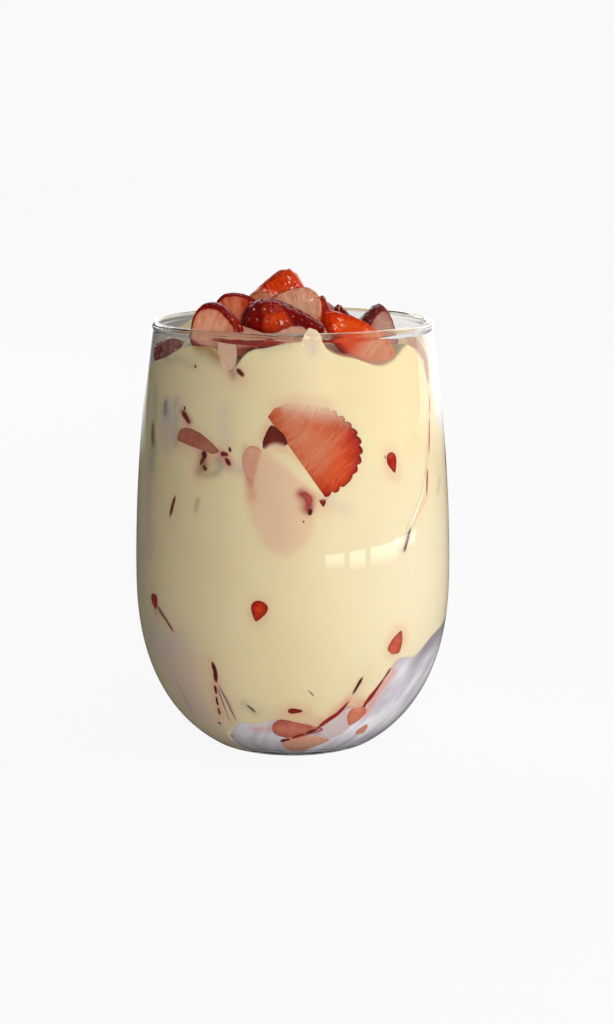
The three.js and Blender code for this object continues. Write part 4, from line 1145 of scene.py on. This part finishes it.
def seed_places(piece):
    """Where the seeds of a piece lie in its own frame: distance along the berry and angle round it, for the
    ones whose skin is left between the cuts."""
    row, column = np.meshgrid(np.arange(1, 60), np.arange(SEEDS_AROUND), indexing="ij")
    t, around = np.interp(row * SEED_ROW, *skin_way(piece)[::-1]), column * 2 * np.pi / SEEDS_AROUND
    low, high = cut_limits(piece)
    radius = skin_radius(t, around, piece)
    across, z = radius * np.cos(around), radius * np.sin(around)
    kept = (row + column) % 2 == 0
    kept &= (t > max(piece.get("start", 0), FIRST_SEED)) & (t < min(piece.get("end", 1), LAST_SEED))
    kept &= (z > low + SEED_CLEAR) & (z < high - SEED_CLEAR)
    kept &= (across < piece.get("left", UNCUT)) & (-across < piece.get("right", UNCUT))
    return t[kept], around[kept], radius[kept]


def seed_grid():
    """A drop lying along X: an ellipse in section whose half-width is fullest near the back."""
    u = np.linspace(0.06, 0.94, SEED_ROWS)[:, None]
    turn = np.linspace(0, 2 * np.pi, SEED_SIDES, endpoint=False)[None, :]
    full = np.sin(np.pi * u**0.75)
    x = np.broadcast_to(SEED_LENGTH * (u - 0.5), (SEED_ROWS, SEED_SIDES))
    y, z = 0.5 * SEED_WIDTH * full * np.cos(turn), 0.5 * SEED_THICK * full * np.sin(turn)
    ends = (-0.5 * SEED_LENGTH, 0, 0), (0.5 * SEED_LENGTH, 0, 0)
    return closed_surface(np.stack([x, -y, z], axis=-1), *ends)


def seeds_of(piece):
    """All the seeds of a piece: the drop turned and moved to every place, as one surface."""
    t, around, radius = seed_places(piece)
    middle = (piece.get("start", 0.0) + piece.get("end", 1.0)) / 2
    out = np.stack([np.zeros_like(t), np.cos(around), np.sin(around)], axis=-1)
    rise = skin_radius(t + SLOPE_STEP, around, piece) - skin_radius(t - SLOPE_STEP, around, piece)
    slope = rise / (2 * SLOPE_STEP * piece["length"])
    along = np.stack([np.ones_like(t), slope * np.cos(around), slope * np.sin(around)], axis=-1)
    along = along / np.linalg.norm(along, axis=1, keepdims=True)
    side = np.cross(out, along)
    up = np.cross(along, side)
    place = np.stack([(t - middle) * piece["length"], *(radius * out[:, 1:].T)], axis=-1)
    drop = seed_grid()
    turned_drops = np.einsum("pi,nij->npj", drop["points"], np.stack([along, side, up], axis=1))
    points = in_place(piece, (turned_drops + place[:, None, :]).reshape(-1, 3))
    start = np.arange(len(t))[:, None, None] * len(drop["points"])
    tint = np.array(SEED_COLOURS)[np.arange(len(t)) % 2]
    return {
        "points": points,
        "quads": (drop["quads"][None] + start).reshape(-1, 4),
        "fans": (drop["fans"][None] + start).reshape(-1, 3),
        "values": {"tint": np.repeat(tint, len(drop["points"]), axis=0), "cover": np.ones(len(points))},
    }


def tinted_finish(name, roughness, coat):
    """Paint from the colour stored on the mesh, as opaque as the cover stored with it."""
    material, tree = new_material(name)
    paint = add_node(
        tree,
        "BsdfPrincipled",
        {"Base Color": attribute(tree, "tint", "Color"), "Roughness": roughness, "Specular IOR Level": 0.1,
         "Coat Weight": coat, "Coat Roughness": 0.1, "Alpha": attribute(tree, "cover")},
    )
    return finished(material, paint)


seeds = joined([seeds_of(piece) for piece in HEAP if not piece.get("seedless")])
add_piece("seeds", seeds, tinted_finish("seed_coat", 0.35, 0.3))
print("seeds:", len(seeds["fans"]) // (2 * SEED_SIDES))

# %% [markdown]
# Crumbs and thin edges. Besides the slices, the glass shows dark dashes, slivers of skin and, beside one
# crease, a pale strip that is a painted highlight. Each is a flat strip along a short route on the wall, an
# ellipse in section that tapers to both ends. A mark is a route, its greatest width, a colour and how softly
# its ends and rims fade. Its rims dip under the cream, so that only the middle of the strip stands free of it.

# %% Marks at the wall
MAROON, DEEP_RED, BROWN = (0.085, 0.006, 0.008), (0.30, 0.010, 0.008), (0.17, 0.045, 0.025)
NEAR_BLACK, PAINTED_CREASE_HIGHLIGHT, SKIN_PINK = (0.02, 0.008, 0.008), (0.92, 0.84, 0.62), (0.42, 0.10, 0.08)
MARK_ROWS, MARK_SIDES, MARK_THICK, MARK_PROUD = 17, 16, 0.12, -0.03
MARKS = [
    ([(-30.5, 32.1), (-29.7, 29.1), (-30.2, 25.7)], 1.6, MAROON, 0.4),
    ([(-31, 24.8), (-31.3, 22)], 1.0, MAROON, 0.4), ([(-31.7, 21.2), (-32.2, 18.2)], 0.9, MAROON, 0.4),
    ([(-32.4, 17.6), (-33.1, 15)], 0.8, BROWN, 0.4),
    ([(-36.3, 12.2), (-35.2, 11.5)], 0.9, NEAR_BLACK, 0.3),
    ([(47.5, 68.9), (45.5, 65.4), (43.6, 62.2)], 1.5, BROWN, 0.8),
    ([(66.4, 104), (64.8, 99)], 0.6, SKIN_PINK, 0.7), ([(64.3, 98), (61.5, 88)], 0.8, SKIN_PINK, 0.7),
    ([(59.7, 84), (57.9, 76.6)], 0.9, SKIN_PINK, 0.7), ([(36, 89.9), (36.4, 89)], 0.4, BROWN, 0.3),
    # Painted highlight: a pale strip beside the crease on the right.
    ([(58.3, 84.4), (55.9, 78.1), (49.4, 71.2), (43.4, 66)], 1.5, PAINTED_CREASE_HIGHLIGHT, 0.8),
    ([(27.4, 27.8), (24.3, 22.6)], 1.1, MAROON, 0.5), ([(-6.2, 7.4), (-1, 8.4)], 1.2, MAROON, 0.3),
    ([(-0.4, 8.7), (6, 10.3)], 1.4, DEEP_RED, 0.4), ([(6.2, 10.4), (11.2, 11.7)], 1.3, MAROON, 0.4),
    ([(11.4, 12), (14.5, 14.2), (19.8, 16.8), (23.2, 20.5)], 1.4, DEEP_RED, 0.5),
    ([(40, 29), (37.6, 26.2)], 1.0, BROWN, 0.6),
    ([(37.9, 26.6), (34.6, 22.6), (31.4, 19), (30.8, 16.8)], 1.5, DEEP_RED, 0.6),
    ([(4, 81.4), (6, 79.6), (6.2, 77.4)], 2.2, (0.42, 0.06, 0.05), 0.8),
    ([(6.8, 76.8), (6.2, 75)], 1.5, MAROON, 0.6), ([(4, 73.6), (4.4, 73)], 0.5, BROWN, 0.3),
    ([(-44.6, 103), (-44.1, 101.7)], 0.9, BROWN, 0.8),
    ([(-46, 101.6), (-43.7, 100.2), (-41, 98.2)], 1.7, (0.17, 0.006, 0.008), 0.7),
    ([(-26.7, 91.1), (-23.4, 91)], 1.7, (0.18, 0.008, 0.03), 0.7),
    ([(-24.7, 90.1), (-22.5, 88)], 1.4, (0.10, 0.012, 0.03), 0.7),
    ([(-23.2, 93.2), (-22.6, 91.6)], 1.0, MAROON, 0.8),
    ([(-34, 91.4), (-33, 89.2)], 1.9, (0.07, 0.008, 0.006), 0.6),
    ([(-33.6, 89.6), (-35.2, 87.4)], 1.6, (0.15, 0.035, 0.014), 0.8),
    ([(-33.9, 87.5), (-32.3, 86)], 1.5, (0.13, 0.05, 0.02), 0.7),
    ([(-46.7, 78), (-48.2, 74.7), (-49.6, 71.3)], 1.3, (0.19, 0.04, 0.02), 0.7),
    ([(-58, 45), (-52, 41.6), (-47.6, 38.4)], 1.6, (0.30, 0.13, 0.10), 0.9),
    ([(-21.6, 114.3), (-18.3, 112.3)], 1.6, (0.12, 0.014, 0.012), 0.7),
    ([(-41, 114.4), (-40, 113.6)], 0.8, BROWN, 0.6),
    ([(-29.5, 25.4), (-27.1, 20.5), (-25.4, 14.2)], 0.6, (0.20, 0.16, 0.15), 0.8),
    ([(-30, 24.4), (-29.1, 18.9), (-28.9, 12.4)], 0.5, (0.26, 0.21, 0.20), 0.8),
    ([(6.1, 25.2), (8.6, 23)], 0.5, (0.22, 0.20, 0.13), 0.8),
    ([(-18.6, 19.8), (-15, 17.4)], 0.9, (0.16, 0.14, 0.10), 0.9),
    ([(-33.4, 121.9), (-20.8, 121.3), (-11.7, 121), (-2.5, 121.7)], 1.5, (0.26, 0.03, 0.02), 0.7),
    ([(50.4, 121), (60, 119), (66.6, 114.5), (66.4, 106.5)], 3.6, (0.52, 0.30, 0.24), 1.0),
    ([(104, 92), (108, 88)], 0.9, MAROON, 0.4), ([(-112, 84), (-108, 79)], 0.9, DEEP_RED, 0.4),
    ([(140, 64), (148, 62)], 0.8, MAROON, 0.4), ([(-150, 98), (-147, 92)], 0.9, DEEP_RED, 0.4),
    ([(172, 100), (178, 99)], 0.8, MAROON, 0.4), ([(-168, 33), (-160, 30)], 0.8, BROWN, 0.4),
    ([(100, 40), (101, 34)], 0.9, DEEP_RED, 0.4), ([(-122, 40), (-116, 36)], 0.8, MAROON, 0.4),
]


def mark(route, width, colour, softness, seed):
    """A strip whose outline fades by `softness`, from 0 for a crisp crumb to 1 for a smear."""
    phi, z = np.array(route, dtype=float).T
    scale = np.radians(inner_radius(z.mean()))
    reach = np.concatenate([[0], np.cumsum(np.hypot(np.diff(phi * scale), np.diff(z)))])
    s = np.linspace(0, reach[-1], MARK_ROWS)
    across, up = np.interp(s, reach, phi * scale), np.interp(s, reach, z)
    run = np.stack([np.gradient(across), np.gradient(up)])
    run = run / np.linalg.norm(run, axis=0)
    u = s / reach[-1]
    taper_off = np.sqrt(np.sin(np.pi * (0.04 + 0.92 * u)))
    half = 0.5 * width * taper_off * (1 + 0.25 * ripple(5 * u, 0, seed))
    turn = np.linspace(0, 2 * np.pi, MARK_SIDES, endpoint=False)
    side = half[:, None] * np.cos(turn)
    height = up[:, None] + side * run[0][:, None]
    angle = (across[:, None] - side * run[1][:, None]) / scale
    rings = polar(wetted_radius(height) + MARK_PROUD + MARK_THICK * np.sin(turn), angle, height)
    tint = np.broadcast_to(np.array(colour), rings.shape)
    fading = np.maximum(np.abs(2 * u - 1)[:, None] ** 3, np.cos(turn) ** 2)
    poles = rings[0].mean(axis=0), rings[-1].mean(axis=0)
    return closed_surface(rings, *poles, tint=tint, cover=1 - softness * fading)


marks = joined([mark(*entry, seed) for seed, entry in enumerate(MARKS)])
add_piece("wall_marks", marks, tinted_finish("crumb", 0.6, 0.0))

# %% [markdown]
# Where the cream stands back from the glass, thin milk has run down and clings to it. It lines the wall up
# to the edge of the hollow and the floor as well, so it is turned like a cup: out along the floor, up the
# wall, over its own edge and back. Streaks follow the way it ran.

# %% Thin milk over the hollow
LINING_SIDES, LINING_ROWS, LINING_FLOOR_ROWS = 300, 60, 8
LINING_THICK, LINING_INTO, LINING_FLOOR = 0.3, 0.2, FLOOR_Z - 0.1
LINING_SHADOW, LINING_GLOW = (0.28, 0.25, 0.28, 1), (0.72, 0.33, 0.26, 1)
STREAK_MILK = ((0.30, (0.46, 0.42, 0.48)), (0.48, (0.68, 0.65, 0.71)), (0.64, (0.90, 0.90, 0.95)))
GLOW_LINES = (
    (0.8, [(42, 27.5), (36, 21), (33.5, 15)], 1.3), (0.5, [(15, 12), (24, 17)], 2.6),
    (0.5, [(-18, 11.5), (-8, 12)], 1.2),
)


def lining_rings():
    """The cup's rings from the middle of the floor outwards and back again, and the angle of each point."""
    phi = np.broadcast_to(front_first(LINING_SIDES), (1, LINING_SIDES))
    share = np.linspace(0.1, 0.97, LINING_FLOOR_ROWS)[:, None]
    corner = floor_heights(LINING_FLOOR, CORNER_ROWS)[:, None]
    corner = np.broadcast_to(corner, (CORNER_ROWS, LINING_SIDES))
    low = LINING_FLOOR + FLOOR_ROUND
    climb = np.linspace(0.02, 1, LINING_ROWS)[:, None]
    wall = low + climb * np.maximum(hollow_top(phi) - 0.3 - low, 0.6)
    z = np.concatenate([corner, wall])
    outside = inner_radius(z) + LINING_INTO - 1.2 * smooth(z - hollow_top(phi), -0.25, 0.5)
    flat = share * outside[0]
    inside, floor_top = outside[::-1] - LINING_THICK, LINING_FLOOR + LINING_THICK
    out = [polar(flat, phi, LINING_FLOOR), polar(outside, phi, z)]
    back = [polar(inside, phi, z[::-1]), polar(flat[::-1] - 0.1, phi, floor_top)]
    rings = np.concatenate(out + back)
    return rings, np.broadcast_to(phi, rings.shape[:2])


def lining_finish():
    """Milk in streaks from grey to white, darker in shadow and red where fruit glows through."""
    material, tree = new_material("thin_milk")
    streaks = noise(tree, attribute(tree, "grain", "Vector"), 1.0, 4.0)
    colour = ramp(tree, streaks, STREAK_MILK)
    colour = mix_colour(tree, attribute(tree, "shadow"), colour, LINING_SHADOW)
    colour = mix_colour(tree, attribute(tree, "glow"), colour, LINING_GLOW)
    matt = {"Base Color": colour, "Roughness": 0.5, "Specular IOR Level": 0.05}
    return finished(material, add_node(tree, "BsdfPrincipled", matt))


def lining_values(rings, phi):
    """The run of the streaks, the shadow under the cream's edge on the right and the glow of fruit
    behind."""
    z = rings[..., 2]
    across = np.radians(phi) * 40
    along, over = 0.55 * across + 0.83 * z, 0.83 * across - 0.55 * z
    grain = np.stack([0.05 * along, 0.17 * over, 0.05 * z], axis=-1)
    edge = hollow_top(phi)
    shadow = 0.75 * smooth(phi, 42, 62) * smooth(z, edge - 9, edge - 1) * (phi < 120)
    shadow = shadow + (0.2 * smooth(phi, 34, 48) + 0.3 * smooth(-phi, -6, 14)) * (np.abs(phi) < 120)
    glow = sum(strength * line_stain(phi, z, route, width) for strength, route, width in GLOW_LINES)
    return dict(grain=grain, shadow=np.clip(shadow, 0, 1), glow=np.clip(glow, 0, 1))


rings, phi = lining_rings()
ends = (0, 0, LINING_FLOOR), (0, 0, LINING_FLOOR + LINING_THICK)
lining = closed_surface(rings, *ends, **lining_values(rings, phi))
add_piece("milk_lining", lining, lining_finish())

# %% [markdown]
# Light and stage. A large soft key light stands on the right, a smaller one in front, a weak one low down
# and one behind. The sparkle above lights no dull thing: it is only there to be mirrored by the wet fruit.
# A pale sweep is floor and wall. Low on the right stand four panes of light, of which the last two overlap:
# the glass mirrors them as the little window that every photograph of a glass shows. The room is brighter
# on the right, and what shows of it through the glass is darker than the page.

# %% Stage and lights
WINDOW_REACH = 0.24
WINDOW_PANES = (
    (21, 34, 0.0300, 0.9), (37, 49, 0.0290, 1.15), (51.5, 75, 0.0296, 1.15), (72, 92, 0.0325, 0.75),
)
PANE_HEIGHT, PANE_GLOW = 0.0105, 15.0
PANE_UPWARDS = ((0.0, 0.05), (0.35, 0.6), (0.6, 1), (1.0, 1))
PANE_SIDEWAYS = ((0.0, 0.2), (0.08, 1), (0.92, 1), (1.0, 0.2))
STAGE_GLOW, STAGE_SHARE, STAGE_MIRRORED = (1, 1, 1, 1), 0.9, 1.8


def sweep_rings():
    """A sheet along X whose profile is a flat floor, a quarter circle and an upright wall."""
    bend = np.linspace(0, np.pi / 2, 24)
    y = np.concatenate([[-2.5], 0.9 + 0.6 * np.sin(bend), [1.5]])
    z = np.concatenate([[0], 0.6 - 0.6 * np.cos(bend), [2.5]])
    x = np.array([-2.5, 2.5])
    return np.stack([*np.meshgrid(x, y, indexing="ij"), np.broadcast_to(z, (2, len(z)))], axis=-1)


def seen_and_mirrored(tree):
    """Three masks of the ray that arrives: 1 where the eye looks here directly or through glass, 1 where it
    looks by way of a reflection, and 1 where it came through glass."""
    path = add_node(tree, "LightPath")
    through = maths(tree, "MINIMUM", path.outputs["Transmission Depth"], 1.0)
    refracted = maths(tree, "MULTIPLY", through, 9.0)
    mirrored = maths(tree, "SUBTRACT", path.outputs["Glossy Depth"], refracted, clamp=True)
    bounced = maths(tree, "ADD", path.outputs["Diffuse Depth"], mirrored, clamp=True)
    direct = maths(tree, "SUBTRACT", 1.0, bounced)
    return direct, mirrored, through


THROUGH_GLASS = (
    (0.0, (0.2, 0.19, 0.18)), (0.35, (0.5, 0.49, 0.48)),
    (0.6, (0.82, 0.81, 0.80)), (1.0, (0.97, 0.96, 0.95)),
)
MIRRORED_LOW, MIRRORED_FULL = (0.05, 0.05, 0.05), (1, 1, 1)


def stage_finish():
    """Pale paint that glows nearly white to the eye. Through glass it darkens towards the left, and in a
    mirror only its upright wall is bright, all but the left end."""
    material, tree = new_material("pale_stage")
    paint = add_node(tree, "BsdfPrincipled", {"Base Color": (0.8, 0.8, 0.8, 1), "Roughness": 0.8})
    seen, mirrored, through = seen_and_mirrored(tree)
    place = add_node(tree, "SeparateXYZ", {0: object_place(tree)})
    across = maths(tree, "ADD", maths(tree, "MULTIPLY", place.outputs[0], 3.5), 0.5, clamp=True)
    behind = ramp(tree, across, THROUGH_GLASS)
    glow = add_node(tree, "Emission", {"Color": mix_colour(tree, through, STAGE_GLOW, behind)})
    wall_glow = ramp(tree, place.outputs[1], [(0.5, MIRRORED_LOW), (1.0, MIRRORED_FULL)])
    rightwards = maths(tree, "ADD", place.outputs[0], 0.9, clamp=True)
    right_glow = ramp(tree, rightwards, [(0.3, MIRRORED_LOW), (0.6, MIRRORED_FULL)])
    wall_glow = mix_colour(tree, 1.0, wall_glow, right_glow, "MULTIPLY")
    dim = add_node(tree, "Emission", {"Color": wall_glow, "Strength": STAGE_MIRRORED})
    share = maths(tree, "MULTIPLY", seen, STAGE_SHARE)
    lit = add_node(tree, "MixShader", {0: share, 1: paint.outputs[0], 2: glow.outputs[0]})
    mixed = add_node(tree, "MixShader", {0: mirrored, 1: lit.outputs[0], 2: dim.outputs[0]})
    return finished(material, mixed)


grid = sweep_rings()
sweep_mesh = bpy.data.meshes.new("sweep")
rows = grid.shape[1]
strips = [(i, rows + i, rows + i + 1, i + 1) for i in range(rows - 1)]
sweep_mesh.from_pydata(grid.reshape(-1, 3).tolist(), [], strips)
sweep_mesh.polygons.foreach_set("use_smooth", [True] * len(strips))
sweep_mesh.materials.append(stage_finish())
sweep = bpy.data.objects.new("sweep", sweep_mesh)
bpy.context.scene.collection.objects.link(sweep)


def area_light(name, at, towards, size, power, colour=(1, 1, 1)):
    """A rectangle of light at a place, facing another, `size` metres wide and high."""
    data = bpy.data.lights.new(name, "AREA")
    data.shape, data.size, data.size_y = "RECTANGLE", *size
    data.energy, data.color = power, colour
    light = bpy.data.objects.new(name, data)
    light.location = at
    light.rotation_mode = "QUATERNION"
    light.rotation_quaternion = (Vector(towards) - Vector(at)).to_track_quat("-Z", "Y")
    light.visible_camera = light.visible_transmission = False
    bpy.context.scene.collection.objects.link(light)
    return light


def fade_pane(light):
    """Dims a window pane towards its lower edge and softens its sides, by the place on the lamp itself."""
    light.use_nodes = True
    tree = light.node_tree
    place = add_node(tree, "SeparateXYZ", {0: add_node(tree, "NewGeometry").outputs["Parametric"]})
    upwards = ramp(tree, place.outputs[1], [(at, (grey,) * 3) for at, grey in PANE_UPWARDS])
    sideways = ramp(tree, place.outputs[0], [(at, (grey,) * 3) for at, grey in PANE_SIDEWAYS])
    glow = mix_colour(tree, 1.0, upwards, sideways, "MULTIPLY")
    tree.links.new(glow, tree.nodes["Emission"].inputs["Color"])


GLASS_MIDDLE = (0, 0, 0.075)
key = area_light("key", (0.98, -0.12, 0.35), GLASS_MIDDLE, (0.5, 0.5), 2.85, (1, 0.98, 0.95))
key.visible_glossy = False
area_light("front", (0.28, -0.97, 0.45), GLASS_MIDDLE, (0.3, 0.3), 3.5, (1, 0.99, 0.96))
low = area_light("low", (0.2, -0.7, 0.02), (0, 0, 0.02), (0.5, 0.04), 0.8)
low.visible_glossy = False
area_light("back", (-0.5, 0.9, 0.5), GLASS_MIDDLE, (0.4, 0.4), 2.0)
sparkle = area_light("sparkle", (-0.05, -0.25, 1.0), GLASS_MIDDLE, (0.3, 0.12), 2.6)
sparkle.visible_diffuse = False
for index, (start, end, height, tall) in enumerate(WINDOW_PANES):
    turn, half = math.radians((start + end) / 2), math.radians((end - start) / 2)
    reach, width = WINDOW_REACH * math.cos(half), 2 * WINDOW_REACH * math.sin(half)
    at = (reach * math.sin(turn), -reach * math.cos(turn), height)
    size = width, PANE_HEIGHT * tall
    pane = area_light(f"pane_{index}", at, (0, 0, height), size, PANE_GLOW * size[0] * size[1])
    fade_pane(pane.data)

world = bpy.data.worlds.new("studio")
world.use_nodes = True
bpy.context.scene.world = world
tree = world.node_tree
direction = add_node(tree, "SeparateXYZ", {0: add_node(tree, "TexCoord").outputs["Generated"]})
across_room = maths(tree, "ADD", maths(tree, "MULTIPLY", direction.outputs[0], 0.5), 0.5)
room = ramp(tree, across_room, [(0.0, (0.03, 0.03, 0.034)), (0.35, (0.09, 0.09, 0.094)),
                                (0.6, (0.42, 0.42, 0.42)), (1.0, (1, 0.99, 0.97))])
mirror_room = ramp(tree, across_room, [(0.0, (0.16, 0.16, 0.18)), (0.2, (0.05, 0.05, 0.05)),
                                       (0.8, (0.06, 0.06, 0.06)), (1.0, (0.6, 0.6, 0.6))])
seen, mirrored, through = seen_and_mirrored(tree)
lighting = mix_colour(tree, mirrored, room, mirror_room)
page = mix_colour(tree, through, (0.98, 0.98, 0.98, 1), (0.5, 0.5, 0.5, 1))
shown = mix_colour(tree, seen, lighting, page)
tree.links.new(shown, tree.nodes["Background"].inputs["Color"])
bpy.context.scene.view_settings.view_transform = "Standard"
